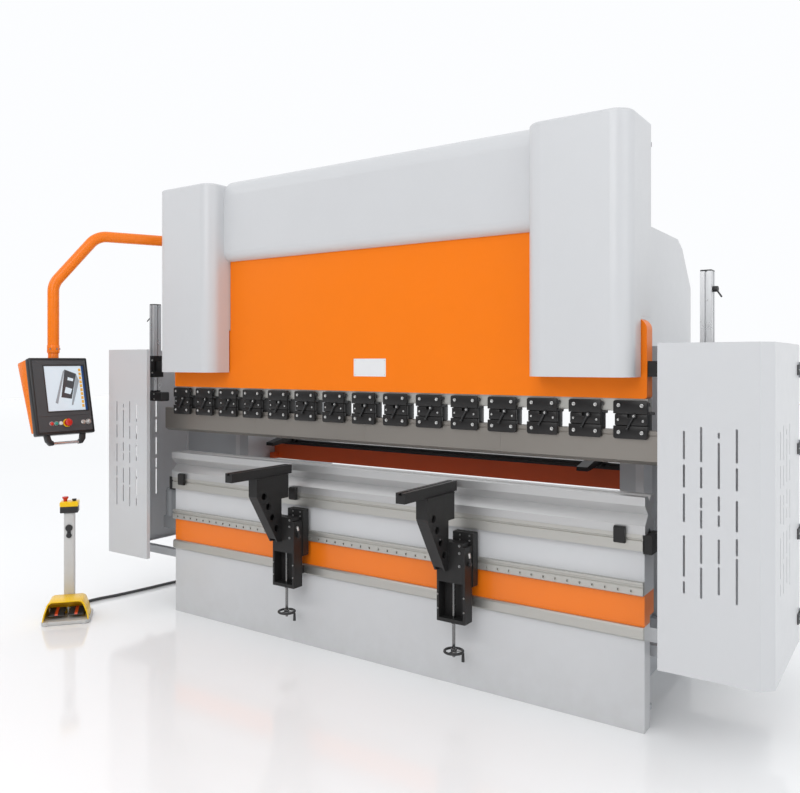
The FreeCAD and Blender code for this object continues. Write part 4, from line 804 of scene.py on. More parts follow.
# ---- tooling on the ram ----
@dataclass
class Screws:
    """Socket head screws, modelled once and copied."""

    radius: float
    height: float
    sides: int = 18

    def cluster(self, name: str, places: Iterable[Sequence[float]],
                turn: Matrix = Matrix.Identity(4)) -> Piece:
        """Copy a front-facing screw to several places and join the copies.

        Args:
            name: name of the joined piece.
            places: seats of the heads.
            turn: rotation of the screw, if it faces elsewhere.

        Returns:
            The joined piece.
        """
        master = Bench.barrel("screw", (0, 0, 0), (0, -self.height, 0), self.radius, self.sides,
                              self.height * 0.2)
        Bench.sink_front(master, self.radius * 0.42, self.height * 0.6)
        return Bench.join(name, Bench.copies(master, [shift(*place) @ turn for place in places]))


@dataclass
class ToolClamps:
    """Row of clamps that hold the punch under the ram."""

    count: int = 15
    width: float = 0.155
    plate: float = 0.020
    recess: float = 0.004
    seam: float = 0.003
    corner: float = 0.007
    notch: float = 0.014
    hub: Flat = (0.018, 0.60)
    screw: Screws = field(default_factory=lambda: Screws(0.0085, 0.005))
    small_screw: Screws = field(default_factory=lambda: Screws(0.0052, 0.003, 14))

    def plates(self, low: Vector, high: Vector) -> List[Piece]:
        """Upper, middle and lower plate of the middle clamp, and its body."""
        half, front, tall, cut = self.width / 2, low.y, high.z - low.z, self.corner
        back = front + self.plate
        split_low, split_high = low.z + 0.335 * tall, low.z + 0.65 * tall
        upper = Bench.profile("clamp_upper", [
            (-half, split_high), (half, split_high), (half, high.z - cut), (half - cut, high.z),
            (cut - half, high.z), (-half, high.z - cut)], Axis.Y, front, back, 0.0015)
        lower = Bench.profile("clamp_lower", [
            (-half + cut, low.z), (half - cut, low.z), (half, low.z + cut), (half, split_low),
            (-half, split_low), (-half, low.z + cut)], Axis.Y, front, back, 0.0015)
        left, right, notch = -half + 0.006, half - 0.003, self.notch
        foot, head = split_low + self.seam, split_high - self.seam
        middle = Bench.profile("clamp_middle", [
            (left, foot), (right, foot), (right, head), (notch, head), (notch, head - notch),
            (-notch, head - notch), (-notch, head), (left, head)],
            Axis.Y, front + self.recess, back, 0.001)
        body = Bench.block("clamp_body", (0.004 - half, back, low.z + 0.038),
                           (half - 0.004, high.y, low.z + 0.123), 0.001)
        return [upper, lower, middle, body]

    def levers(self, low: Vector, high: Vector) -> List[Piece]:
        """Quick lever across the plates and the release handle at the side."""
        half, front, tall = self.width / 2, low.y, high.z - low.z
        x, hub, level = self.hub[0], low.z + self.hub[1] * tall, low.z + 0.70 * tall
        tip = (-0.012, front - 0.008, low.z + 0.27 * tall)
        rod = Bench.barrel("lever", (x, front - 0.004, hub), tip, 0.0052, 12, 0.001)
        Bench.take()
        bpy.ops.mesh.primitive_uv_sphere_add(segments=20, ring_count=12, radius=0.0072,
                                             location=tip)
        knob = Bench.smooth(Bench.new("knob"), 60.0)
        boss = Bench.barrel("boss", (x, front + self.recess, hub), (x, front - 0.007, hub),
                            0.0105, 18, 0.001)
        bars = [Bench.barrel(name, (half + start, front + 0.010, level - drop),
                             (half + end, front + 0.010, level - end_drop), radius, sides, edge)
                for name, start, end, drop, end_drop, radius, sides, edge in (
                    ("handle", -0.01, 0.020, 0.0, 0.002, 0.0045, 12, 0.0008),
                    ("grip", 0.010, 0.029, 0.002, 0.003, 0.0068, 14, 0.002))]
        nub = Bench.block("nub", (half - 0.003, front + 0.004, high.z - 0.026),
                          (half + 0.009, front + 0.015, high.z - 0.009), 0.0015)
        return [rod, knob, boss, *bars, nub]

    def build(self) -> None:
        """Model one clamp, then repeat it along the ram."""
        low, high = corners("tool_clamps")
        tall = high.z - low.z
        pitch = (high.x - low.x - self.width) / (self.count - 1)
        places = [low.x + self.width / 2 + i * pitch for i in range(self.count)]
        for parts, name, finish, nodes in (
                (self.plates(low, high), "clamp_plates", CLAMP_BLACK, ["tool_clamps"]),
                (self.levers(low, high), "clamp_levers", MOULDED_BLACK, [])):
            master = Bench.join(name, parts)
            if nodes:
                Bench.smooth(master)
            row = Bench.join(name, Bench.copies(master, [shift(x, 0, 0) for x in places]))
            Bench.dress(row, "ram", finish, *nodes)
        seats = {
            "big": [(x + dx, low.y, low.z + share * tall) for x in places
                    for dx in (-0.052, 0.052) for share in (0.17, 0.87)],
            "small": [(x + dx, low.y + self.recess, low.z + share * tall) for x in places
                      for dx, share in ((-0.056, 0.49), (0.056, 0.47))],
            "centre": [(x + self.hub[0], low.y - 0.007, low.z + self.hub[1] * tall)
                       for x in places]}
        heads = Bench.join("clamp_screws", [
            (self.screw if name == "big" else self.small_screw).cluster(name, where)
            for name, where in seats.items()])
        Bench.dress(heads, "ram", ZINC, "clamp_fittings")


@dataclass
class LaserPost:
    """Light-curtain post on one ram end: grooved profile, optical head and stop."""

    side: str
    groove: float = 0.009
    depth: float = 0.010
    reach: float = 0.107

    def section(self, low: Vector, high: Vector) -> List[Flat]:
        """Outline of the profile between two corners, with a groove in each face."""
        cx, cy = (low.x + high.x) / 2, (low.y + high.y) / 2
        hx, hy, g, d = (high.x - low.x) / 2, (high.y - low.y) / 2, self.groove / 2, self.depth
        quarter = [(hx, -g), (hx - d, -g), (hx - d, g), (hx, g), (hx, hy), (g, hy), (g, hy - d),
                   (-g, hy - d), (-g, hy), (-hx, hy)]
        return [(cx + s * x, cy + s * y) for s in (1, -1) for x, y in quarter]

    def build(self) -> None:
        """Model the post, its cap, head and stop."""
        side, node, body = self.side, "laser_unit_" + self.side, "laser_" + self.side
        low, high = corners(node)
        sign = 1 if side == "right" else -1
        inner = sign * min(abs(low.x), abs(high.x))
        axis = inner + sign * self.reach
        foot, top = low.z, high.z
        post_low = Vector((axis - 0.024, -0.030, foot + 0.071))
        post_high = Vector((axis + 0.024, 0.030, top - 0.006))
        post = Bench.profile("laser_post_" + side, self.section(post_low, post_high), Axis.Z,
                             post_low.z, post_high.z, 0.0006)
        Bench.dress(post, body, ANODISED, node)
        lens_x = inner + sign * 0.028
        dark = [
            Bench.block("head", (inner, -0.035, foot), (inner + sign * 0.150, 0.035, foot + 0.062),
                        0.010, 4),
            Bench.block("cap", (axis - 0.0235, -0.0295, post_high.z),
                        (axis + 0.0235, 0.0295, top), 0.0015),
            Bench.barrel("lens", (lens_x, -0.033, foot + 0.030), (lens_x, -0.0349, foot + 0.030),
                         0.019, 28, 0.0006),
            Bench.block("neck", (axis - 0.021, -0.027, foot + 0.060),
                        (axis + 0.021, 0.027, foot + 0.073), 0.002),
            Bench.barrel("stop", (axis + sign * 0.020, 0.0, top - 0.082),
                         (axis + sign * 0.044, -0.004, top - 0.082), 0.0125, 24, 0.0025),
            Bench.barrel("pin", (axis + sign * 0.034, -0.004, top - 0.080),
                         (axis + sign * 0.062, -0.020, top - 0.118), 0.0036, 12, 0.001)]
        Bench.dress(Bench.smooth(Bench.join("laser_head_" + side, dark)), body, MOULDED_BLACK)
        fittings = Screws(0.006, 0.004).cluster("laser_fittings_" + side, [
            (inner + sign * dx, -0.035, foot + dz)
            for dx, dz in ((0.075, 0.048), (0.075, 0.014), (0.132, 0.031))])
        Bench.dress(fittings, body, ZINC)
        bracket = corners("laser_brackets")[0].z
        holding = Screws(0.0065, 0.005).cluster("laser_block_screws_" + side, [
            (axis + dx, -0.040, bracket + dz) for dx in (-0.022, 0.022) for dz in (0.030, 0.115)])
        Bench.dress(holding, "ram", ZINC)


@dataclass
class RamTrim:
    """Blank plate with rivets on the ram."""

    plate_x: Flat = (-0.068, 0.150)
    plate_z: Flat = (1.566, 1.664)
    thick: float = 0.0012
    margin: float = 0.009

    def build(self) -> None:
        """Fix the blank plate to the ram's front."""
        front = corners("ram_beam")[0].y
        (x0, x1), (z0, z1), margin = self.plate_x, self.plate_z, self.margin
        plate = Bench.block("blank_plate", (x0, front - self.thick, z0), (x1, front, z1), 0.0004)
        Bench.sink_front(plate, 0.004, self.thick * 0.4)
        Bench.dress(plate, "ram", PLATE_WHITE)
        rivets = Screws(0.0022, 0.0014, 12).cluster("plate_rivets", [
            (x, front - self.thick * 0.7, z) for x in (x0 + margin, x1 - margin)
            for z in (z0 + margin, z1 - margin)])
        Bench.dress(rivets, "ram", ZINC)


# ---- front supports ----
@dataclass
class FrontSupport:
    """Lifting screw, wheel, clamping lever and screws of one sheet support."""

    side: str
    rim: float = 0.0066
    ring: float = 0.046
    spokes: int = 3
    spoke_angle: float = 23.0
    wheel_rise: float = 0.050
    shank: float = 0.0079
    lever_run: Point = (0.1, -0.35, 0.9)
    screw_x: float = 0.080
    screw_y: float = 0.030

    def wheel(self) -> None:
        """Black rim with bright hub and spokes on a bright screw."""
        node, body = "handwheel_" + self.side, "wheel_" + self.side
        low, high = corners(node)
        x, y, z = (low.x + high.x) / 2, (low.y + high.y) / 2, low.z + self.wheel_rise
        ends = [(x + self.ring * math.cos(turn), y + self.ring * math.sin(turn), z) for turn in
                (math.radians(self.spoke_angle) + i * 2 * math.pi / self.spokes
                 for i in range(self.spokes))]
        Bench.take()
        bpy.ops.mesh.primitive_torus_add(location=(x, y, z), major_radius=self.ring,
                                         minor_radius=self.rim, major_segments=40,
                                         minor_segments=12)
        rim = Bench.smooth(Bench.new("rim"), 60.0)
        hx, hy, _ = ends[0]
        grip = Bench.barrel("grip", (hx, hy, z - 0.006), (hx, hy, low.z), 0.0065, 18, 0.002,
                            0.0085)
        dark = Bench.join("wheel_rim_" + self.side, [rim, grip])
        Bench.dress(dark, body, MOULDED_BLACK, node)
        bright = [Bench.barrel("hub", (x, y, z - 0.013), (x, y, z + 0.013), 0.015, 28, 0.002)]
        bright += [Bench.barrel("spoke", (x, y, z), end, 0.0042, 12) for end in ends]
        bright.append(Bench.barrel("shank", (x, y, z - 0.028), (x, y, high.z), self.shank, 20,
                                   0.001))
        Bench.dress(Bench.join("lifting_screw_" + self.side, bright), body, SCREW_STEEL)

    def lever(self) -> None:
        """Black clamping lever with a bright tip."""
        node, body = "lock_lever_" + self.side, "lock_" + self.side
        low, high = corners(node)
        y, z = high.y - 0.011, low.z + 0.011
        start, run = Vector((low.x + 0.010, y, z)), Vector(self.lever_run).normalized()
        hub = Bench.barrel("hub", (low.x, y, z), (low.x + 0.016, y, z), 0.0105, 24, 0.002)
        rod = Bench.barrel("rod", start, start + run * 0.042, 0.0052, 14, 0.0006)
        Bench.dress(Bench.join("lever_arm_" + self.side, [hub, rod]), body, MOULDED_BLACK, node)
        tip = Bench.barrel("lever_tip_" + self.side, start + run * 0.040, start + run * 0.066,
                           0.0068, 18, 0.0015, 0.0058)
        Bench.dress(tip, body, ZINC)

    def screws(self) -> None:
        """Screws in the column's flanges, the carriage plate and the bracket foot."""
        low, high = corners("support_carriage_" + self.side)
        x, carriage = low.x + self.screw_x, "carriage_" + self.side
        seats = [(x + dx, low.y, z) for dx in (-0.074, 0.074) for z in (0.425, 0.495)]
        seats += [(x + dx, high.y - 0.051, z) for dx in (0.012, 0.066) for z in (0.762, 0.786)]
        Bench.dress(Screws(0.0048, 0.003).cluster("carriage_screws_" + self.side, seats),
                    carriage, DARK_SCREW)
        seats = [(x + 0.050, low.y, z) for z in (0.648, 0.712, 0.748)]
        Bench.dress(Screws(0.007, 0.004).cluster("nut_screws_" + self.side, seats),
                    "lift_" + self.side, DARK_SCREW)
        y = low.y + self.screw_y
        collar = Bench.barrel("screw_collar_" + self.side, (x, y, low.z + 0.001),
                              (x, y, low.z - 0.009), 0.014, 24, 0.002)
        Bench.cut(collar, [Bench.barrel("hole", (x, y, low.z + 0.005), (x, y, low.z - 0.02),
                                        0.0084)])
        Bench.dress(collar, carriage, MOULDED_BLACK)

    def build(self) -> None:
        """Model every detail of the support."""
        self.wheel()
        self.lever()
        self.screws()


# ---- control panel ----
@dataclass
class ControlPanel:
    """Tilted control panel with its wedge housing, screen and controls."""

    tilt: float = -13.0
    turn: float = 85.0
    drop: float = 0.010
    half: float = 0.190
    top: float = -0.022
    tall: float = 0.488
    face: float = -0.060
    back: float = -0.010
    screen_x: Flat = (-0.100, 0.158)
    screen_z: Flat = (-0.362, -0.075)
    surround: float = 0.008
    row: float = -0.440
    wedge: Flat = (0.020, 0.100)
    grip_x: float = 0.115
    tiles: int = 10
    button: float = 0.0105
    buttons: Tuple[Tuple[str, float, Finish], ...] = (
        ("red", -0.091, RED_GLOSS), ("green", -0.061, GREEN_GLOSS), ("white", -0.032, WHITE_GLOSS))
    stop_x: float = 0.008
    stop_stem: float = 0.0165
    key_x: float = 0.116
    dial_x: float = 0.150
    dial: float = 0.0138
    collar_turns: Tuple[int, ...] = (-60, 0, 60, 180)

    @property
    def low(self) -> float:
        """Height of the case's underside."""
        return self.top - self.tall

    def fix(self, piece: Piece, finish: Finish, body: str = "panel", *replaces: str) -> None:
        """Carry a piece to the panel's place and dress it."""
        pivot = Vector(joint_place("panel_swivel")) - Vector((0, 0, self.drop))
        piece.data.transform(shift(*pivot) @ spin(self.turn) @ spin(self.tilt, "X"))
        Bench.dress(piece, body, finish, *replaces)

    def slab(self, name: str, x: Flat, depth: Flat, z: Flat, *edge: float) -> Piece:
        """Block whose depths are counted from the case's face."""
        return Bench.block(name, (x[0], self.face + depth[0], z[0]),
                           (x[1], self.face + depth[1], z[1]), *edge)

    def peg(self, name: str, x: float, depth: Flat, *shape: float) -> Piece:
        """Barrel at the height of the controls, with depths from the case's face."""
        return Bench.barrel(name, (x, self.face + depth[0], self.row),
                            (x, self.face + depth[1], self.row), *shape)

    def bezel(self, x: float, outer: float, inner: float) -> Piece:
        """Flat ring round a control."""
        return Bench.cut(self.peg("bezel", x, (0.005, -0.002), outer, 32, 0.001),
                         [self.peg("hole", x, (0.011, -0.009), inner, 28)])

    def bores(self) -> List[Piece]:
        """Cutters for the holes that the controls pass through."""
        holes = [(x, self.button) for _, x, _ in self.buttons]
        holes += [(self.stop_x, self.stop_stem), (self.dial_x, self.dial)]
        return [self.peg("bore", x, (-0.02, 0.025), radius + 0.0005, 28) for x, radius in holes]

    def case(self) -> None:
        """Black case, grey inner plate, screen surround and the orange wedge behind."""
        half, low, top = self.half, self.low, self.top
        shell = Bench.block("panel_shell", (-half, self.face, low), (half, self.back, top),
                            0.009, 4)
        recess = self.slab("recess", (-half + 0.016, half - 0.012), (-0.01, 0.011),
                           (low + 0.016, top - 0.014))
        self.fix(Bench.smooth(Bench.cut(shell, [recess] + self.bores())), PANEL_BLACK, "panel",
                 "panel_case")
        (x0, x1), (z0, z1), rim = self.screen_x, self.screen_z, self.surround
        around_x, around_z = (x0 - rim, x1 + rim), (z0 - rim, z1 + rim)
        inner = self.slab("panel_front", (-half + 0.018, half - 0.014), (0.001, 0.012),
                          (low + 0.018, top - 0.016), 0.0015)
        window = self.slab("window", around_x, (-0.01, 0.006), around_z)
        strip = self.slab("strip", (-half, half), (-0.01, 0.003), (z0 - 0.034, z0 - 0.030))
        self.fix(Bench.cut(inner, [window, strip] + self.bores()), PANEL_GREY)
        surround = self.slab("screen_surround", around_x, (0.002, 0.008), around_z, 0.0015)
        opening = self.slab("opening", self.screen_x, (-0.01, 0.006), self.screen_z)
        self.fix(Bench.cut(surround, [opening]), PANEL_BLACK)
        low_rear, top_rear = self.wedge
        side, foot = half - 0.006, low + 0.026
        wedge = Bench.profile("panel_wedge", [
            (self.back, top - 0.002), (top_rear - 0.006, top - 0.002), (top_rear, top - 0.012),
            (low_rear, foot), (self.back, foot)], Axis.X, -side, side, 0.003, 3)
        self.fix(Bench.smooth(wedge), TUBE_ORANGE)

    def screen(self) -> None:
        """Lit screen that shows a plain bent sheet and a column of tiles."""
        (x0, x1), (z0, z1), level = self.screen_x, self.screen_z, 0.0055
        glass = self.slab("panel_display", self.screen_x, (level, level + 0.003), self.screen_z,
                          0.0005)
        self.fix(glass, SCREEN_LIGHT, "panel", "panel_screen")
        self.fix(self.slab("display_band", (x1 - 0.014, x1), (level - 0.0004, level),
                           self.screen_z, 0.0001), SCREEN_BLUE)
        step = (z1 - z0 - 0.03) / self.tiles
        tops = [z1 - 0.018 - i * step for i in range(self.tiles)]
        tiles = [self.slab("tile", (x1 - 0.034, x1 - 0.018), (level - 0.0005, level),
                           (z - step * 0.72, z), 0.0002) for z in tops]
        self.fix(Bench.join("display_tiles", tiles), SCREEN_AMBER)
        self.sheet_picture(self.face + level)

    def sheet_picture(self, level: float) -> None:
        """Simple channel-shaped sheet with two windows, drawn as thin plates."""
        (x0, x1), (z0, z1) = self.screen_x, self.screen_z

        def plate(name: str, shares: Sequence[Flat], near: float, far: float = 0.0) -> Piece:
            """Thin plate whose corners are shares of the screen's width and height."""
            points = [(x0 + u * (x1 - x0), z0 + v * (z1 - z0)) for u, v in shares]
            return Bench.profile(name, points, Axis.Y, level - near, level + far)

        web = plate("web", ((0.36, 0.30), (0.62, 0.26), (0.80, 0.82), (0.52, 0.92)), 0.0006)
        holes = [plate("hole", shares, 0.002, 0.002) for shares in (
            ((0.45, 0.40), (0.60, 0.36), (0.66, 0.48), (0.50, 0.53)),
            ((0.56, 0.68), (0.70, 0.65), (0.72, 0.71), (0.58, 0.75)))]
        self.fix(Bench.cut(web, holes), SCREEN_DARK)
        flanges = [plate("flange", shares, 0.0008) for shares in (
            ((0.20, 0.18), (0.26, 0.16), (0.52, 0.92), (0.47, 0.88)),
            ((0.60, 0.12), (0.64, 0.12), (0.86, 0.66), (0.80, 0.82)))]
        self.fix(Bench.join("display_flanges", flanges), SCREEN_GREY)

    def controls(self) -> None:
        """Push buttons, stop button, selector and key lock with their bezels."""
        bezels = []
        for colour, x, finish in self.buttons:
            cap = self.peg("button_cap_" + colour, x, (0.020, -0.007), self.button, 28, 0.002)
            self.fix(cap, finish, "button_" + colour, "panel_button_" + colour)
            bezels.append(self.bezel(x, 0.0140, 0.0112))
        bezels += [self.bezel(self.key_x, 0.0150, 0.004), self.bezel(self.dial_x, 0.0180, 0.0144)]
        self.fix(Bench.join("control_bezels", bezels), ZINC)
        row, key, dial, stop = self.row, self.key_x, self.dial_x, self.stop_x
        self.fix(self.slab("key_lock", (key - 0.004, key + 0.004), (-0.016, 0.002),
                           (row - 0.009, row + 0.009), 0.0015), ZINC)
        collar = self.bezel(stop, 0.0255, 0.0174)
        collar.name = "stop_collar"
        self.fix(collar, YELLOW_GLOSS)
        mushroom = Bench.join("stop_mushroom", [
            self.peg("stem", stop, (0.020, -0.017), self.stop_stem, 28),
            self.peg("skirt", stop, (-0.015, -0.022), 0.020, 32, 0.0, 0.0240),
            self.peg("cap", stop, (-0.022, -0.030), 0.0240, 32, 0.003, 0.0205)])
        self.fix(Bench.smooth(mushroom, 40), RED_GLOSS, "panel_stop", "panel_estop")
        body = self.peg("dial", dial, (0.020, -0.010), self.dial, 28, 0.002)
        grip = self.slab("bar", (dial - 0.004, dial + 0.004), (-0.020, -0.009),
                         (row - 0.013, row + 0.013), 0.002)
        self.fix(Bench.join("selector_dial", [body, grip]), ZINC, "selector", "panel_selector")

    def handle(self) -> None:
        """Grab handle under the case."""
        low, grip = self.low, self.grip_x
        outline = ((0.018, 0.004), (-0.014, 0.004), (-0.022, -0.030), (-0.034, -0.038),
                   (-0.034, -0.062), (-0.010, -0.062), (0.012, -0.034))
        feet = [Bench.profile("foot", [(sign * (grip + dx), low + dz) for dx, dz in outline],
                              Axis.Y, self.face + 0.014, self.face + 0.044, 0.004, 3)
                for sign in (-1, 1)]
        self.fix(Bench.smooth(Bench.join("handle_feet", feet)), MOULDED_BLACK)
        reach, y, z = grip - 0.032, self.face + 0.029, low - 0.050
        self.fix(Bench.barrel("handle_bar", (-reach, y, z), (reach, y, z), 0.0100, 28),
                 HARD_CHROME)

    def neck(self) -> None:
        """Swivel neck, and the arm's collar with its screws."""
        x, y, z = joint_place("panel_swivel")
        top, seat = z + 0.0097, 0.0372

        def upright(name: str, start: float, end: float, *shape: float) -> Piece:
            """Barrel on the swivel's axis."""
            return Bench.barrel(name, (x, y, start), (x, y, end), *shape)

        Bench.dress(upright("swivel_neck", z - 0.070, top, 0.032, 36, 0.001), "panel",
                    TUBE_ORANGE)
        collar = upright("arm_collar", top + 0.004, top + 0.052, 0.0375, 40, 0.0015)
        Bench.cut(collar, [upright("hole", top - 0.01, top + 0.07, 0.0349, 40)])
        Bench.dress(collar, "arm", TUBE_ORANGE)
        pins = [Screws(0.0055, 0.004, 14).cluster(
            "pin", [(x + seat * math.cos(math.radians(turn)),
                     y + seat * math.sin(math.radians(turn)), top + 0.028)], spin(turn + 90))
            for turn in self.collar_turns]
        Bench.dress(Bench.join("collar_screws", pins), "arm", DARK_SCREW)

    def build(self) -> None:
        """Model the whole panel."""
        self.case()
        self.screen()
        self.controls()
        self.handle()
        self.neck()


# ---- foot station ----
@dataclass
class FootStation:
    """Pedals under a hood, with a post and a push-button box."""

    width: float = 0.285
    deep: float = 0.250
    base: float = 0.025
    hood_back: float = 0.180
    hood_tall: float = 0.120
    wall: float = 0.005
    post: float = 0.064
    post_top: float = 0.669
    box: Point = (0.112, 0.090, 0.072)
    pedal_x: float = 0.058
    pivot: Flat = (0.155, 0.062)
    ribs: int = 8
    stop_x: float = -0.026
    push_x: float = 0.028

    @staticmethod
    def fix(piece: Piece, finish: Finish, body: str = "frame", *replaces: str) -> None:
        """Carry a piece to the station's place and dress it."""
        piece.data.transform(shift(*STATION_FRONT, 0.0) @ spin(STATION_TURN))
        Bench.dress(piece, body, finish, *replaces)

    def arch(self, grow: float) -> List[Flat]:
        """Outline of the hood from its left foot over the top to its right foot."""
        half = self.width / 2 - 0.008 + grow
        low, high = self.base, self.base + self.hood_tall + grow
        left = [(-half, low), (-half + 0.008, low + 0.045), (-half + 0.026, high - 0.022),
                (-half + 0.034, high - 0.008), (-half + 0.050, high)]
        return left + [(-x, z) for x, z in reversed(left)]

    def shell(self) -> None:
        """Base casting, hood with its rolled lip, the back wall and the pedals' axle."""
        half, deep, back, wall = self.width / 2, self.deep, self.hood_back, self.wall
        slab = Bench.profile("station_base", [
            (-half, 0.022), (-half + 0.022, 0.0), (-half + 0.034, 0.0), (-half + 0.042, 0.009),
            (half - 0.042, 0.009), (half - 0.034, 0.0), (half - 0.022, 0.0), (half, 0.022),
            (half, deep - 0.02), (half - 0.02, deep), (-half + 0.02, deep), (-half, deep - 0.02)],
            Axis.Z, 0.0004, self.base, 0.005, 3)
        self.fix(Bench.smooth(slab), BASE_GREY, "frame", "foot_base")
        inner = self.arch(-wall)
        roof, lip = (Bench.profile(name, self.arch(grow) + inner[::-1], Axis.Y, start, end, edge)
                     for name, grow, start, end, edge in (("roof", 0.0, 0.016, back, 0.0008),
                                                          ("lip", 0.002, 0.010, 0.018, 0.0015)))
        rear = Bench.profile("wall", inner, Axis.Y, back - wall, back - 0.001)
        self.fix(Bench.smooth(Bench.join("station_hood", [roof, lip, rear]), 25), YELLOW_GLOSS,
                 "frame", "foot_hood")
        y, z = self.pivot
        axle = [Bench.barrel("axle", (-0.114, y, z), (0.114, y, z), 0.0039, 16)]
        axle += [Bench.block("stand", (x - 0.004, y - 0.012, self.base - 0.001),
                             (x + 0.004, y + 0.012, z + 0.010), 0.0015)
                 for x in (-0.110, 0.0, 0.110)]
        self.fix(Bench.join("pedal_axle", axle), ZINC)

    def pedals(self) -> None:
        """Ribbed pedals with a bright tread strip."""
        y, z = self.pivot
        for node, sign in (("pedal_left", -1), ("pedal_right", 1)):
            x, side = sign * self.pedal_x, "l" if sign < 0 else "r"

            def across(name: str, reach: float, *shape: float) -> Piece:
                """Barrel on the pedal's pivot."""
                return Bench.barrel(name, (x - reach, y, z), (x + reach, y, z), *shape)

            plate = Bench.profile("plate", [
                (0.040, 0.048), (0.044, 0.056), (0.150, 0.075), (0.159, 0.067), (0.159, 0.057),
                (0.150, 0.055)], Axis.X, x - 0.046, x + 0.046, 0.002)
            starts = [0.050 + i * 0.012 for i in range(self.ribs)]
            ribs = [Bench.block("rib", (x - 0.044, start, 0.056 + (start - 0.044) * 0.179 - 0.002),
                                (x + 0.044, start + 0.006, 0.056 + (start - 0.044) * 0.179 + 0.003),
                                0.0008) for start in starts]
            parts = [Bench.cut(part, [across("bore", 0.05, 0.0044, 16)])
                     for part in (plate, across("eye", 0.046, 0.0088, 20, 0.001))]
            body = Bench.smooth(Bench.join("pedal_plate_" + side, parts + ribs))
            self.fix(body, MOULDED_BLACK, "pedal_" + side, node)
            strip = Bench.profile("pedal_strip_" + side, [
                (0.041, 0.052), (0.046, 0.0615), (0.142, 0.0787), (0.146, 0.070)],
                Axis.X, x - 0.009, x + 0.009, 0.001)
            self.fix(strip, STRIP_RED, "pedal_" + side)

    def column(self) -> None:
        """Post with a cable hook, and the two-part box on it."""
        half, base, top = self.post / 2, self.base, self.post_top
        y = self.hood_back + half + 0.002
        tube = Bench.block("station_tube", (-half, y - half, base), (half, y + half, top), 0.007, 4)
        self.fix(Bench.smooth(tube), BASE_GREY, "frame", "station_post")
        front = y - half
        hook = [Bench.barrel("knob", (0, front + 0.001, z), (0, front - 0.010, z), radius, sides,
                             0.003) for z, radius, sides in ((0.572, 0.022, 32),
                                                             (0.524, 0.017, 28))]
        hook.append(Bench.block("web", (-0.011, front - 0.007, 0.520),
                                (0.011, front + 0.001, 0.575), 0.002))
        self.fix(Bench.smooth(Bench.join("cable_hook", hook)), MOULDED_BLACK)
        foot = Bench.block("post_flange", (-half - 0.006, y - half - 0.0015, base - 0.001),
                           (half + 0.006, y + half + 0.006, base + 0.006), 0.002)
        self.fix(foot, BASE_GREY)
        wide, deep, tall = self.box
        split, inset = top + tall * 0.56, 0.002
        lower = Bench.block("station_box_lower", (-wide / 2 + inset, y - deep / 2 + inset, top),
                            (wide / 2 - inset, y + deep / 2 - inset, split), 0.004, 3)
        self.fix(Bench.smooth(lower), MOULDED_BLACK, "frame", "station_box")
        lid = Bench.block("station_box_lid", (-wide / 2, y - deep / 2, split),
                          (wide / 2, y + deep / 2, top + tall), 0.006, 4)
        Bench.cut(lid, [Bench.barrel("bore", (x, y, split + 0.004), (x, y, top + tall + 0.01),
                                     0.0123) for x in (self.stop_x, self.push_x)])
        self.fix(Bench.smooth(lid), YELLOW_GLOSS)
        self.buttons(y, top + tall)

    def buttons(self, y: float, top: float) -> None:
        """Red flared mushroom and small black button."""
        for name, x, finish, body, node, steps in (
                ("station_mushroom", self.stop_x, RED_GLOSS, "foot_stop", "station_estop",
                 ((-0.018, 0.012, 0.0118, 24), (0.010, 0.022, 0.0125, 32, 0.0, 0.0200),
                  (0.022, 0.030, 0.0200, 32, 0.002, 0.0182))),
                ("station_push", self.push_x, MOULDED_BLACK, "foot_button", "station_button",
                 ((-0.018, 0.009, 0.0118, 24), (0.008, 0.013, 0.0148, 28, 0.0012)))):
            parts = [Bench.barrel("step", (x, y, top + start), (x, y, top + end), *shape)
                     for start, end, *shape in steps]
            self.fix(Bench.smooth(Bench.join(name, parts), 40), finish, body, node)

    def build(self) -> None:
        """Model the whole station."""
        self.shell()
        self.pedals()
        self.column()


@dataclass
class CableGlands:
    """Cable outlet on the foot station and inlet on the left frame, each with a tapered boot."""

    half: float = 0.018
    tall: float = 0.032
    clear: float = 0.0008
    foot: float = 0.0006

    def boot(self, start: Vector, run: Vector) -> Piece:
        """Tapered boot round the cable, flat where it meets the floor."""
        cone = Bench.barrel("boot", start, start + run, 0.0165, 28, 0.0, 0.0118)
        Bench.take(cone)
        bpy.ops.object.mode_set(mode="EDIT")
        bpy.ops.mesh.select_all(action="SELECT")
        bpy.ops.mesh.bisect(plane_co=(0, 0, self.clear), plane_no=(0, 0, 1), clear_inner=True,
                            use_fill=True)
        bpy.ops.object.mode_set(mode="OBJECT")
        return cone

    def build(self) -> None:
        """Model both ends."""
        cable = PedalCable()
        turn = math.radians(STATION_TURN)
        out = Vector((-math.sin(turn), math.cos(turn), 0.0))
        start = Vector(cable.station_point(cable.gland_depth))
        outlet = Bench.block("outlet", (-self.half, 0.250, self.foot),
                             (self.half, 0.273, self.tall), 0.004, 3)
        outlet.data.transform(shift(*STATION_FRONT, 0) @ spin(STATION_TURN))
        first = self.boot(start - out * 0.004, out * 0.036)
        x, y = cable.inlet
        inlet = Bench.block("inlet", (x + 0.001, y - self.half, self.foot),
                            (x + 0.060, y + self.half, self.tall + 0.008), 0.004, 3)
        second = self.boot(Vector((x + 0.004, y, cable.height)), Vector((-0.036, 0, 0)))
        glands = Bench.smooth(Bench.join("cable_boots", [outlet, first, inlet, second]))
        Bench.dress(glands, "frame", MOULDED_BLACK, "cable_glands")


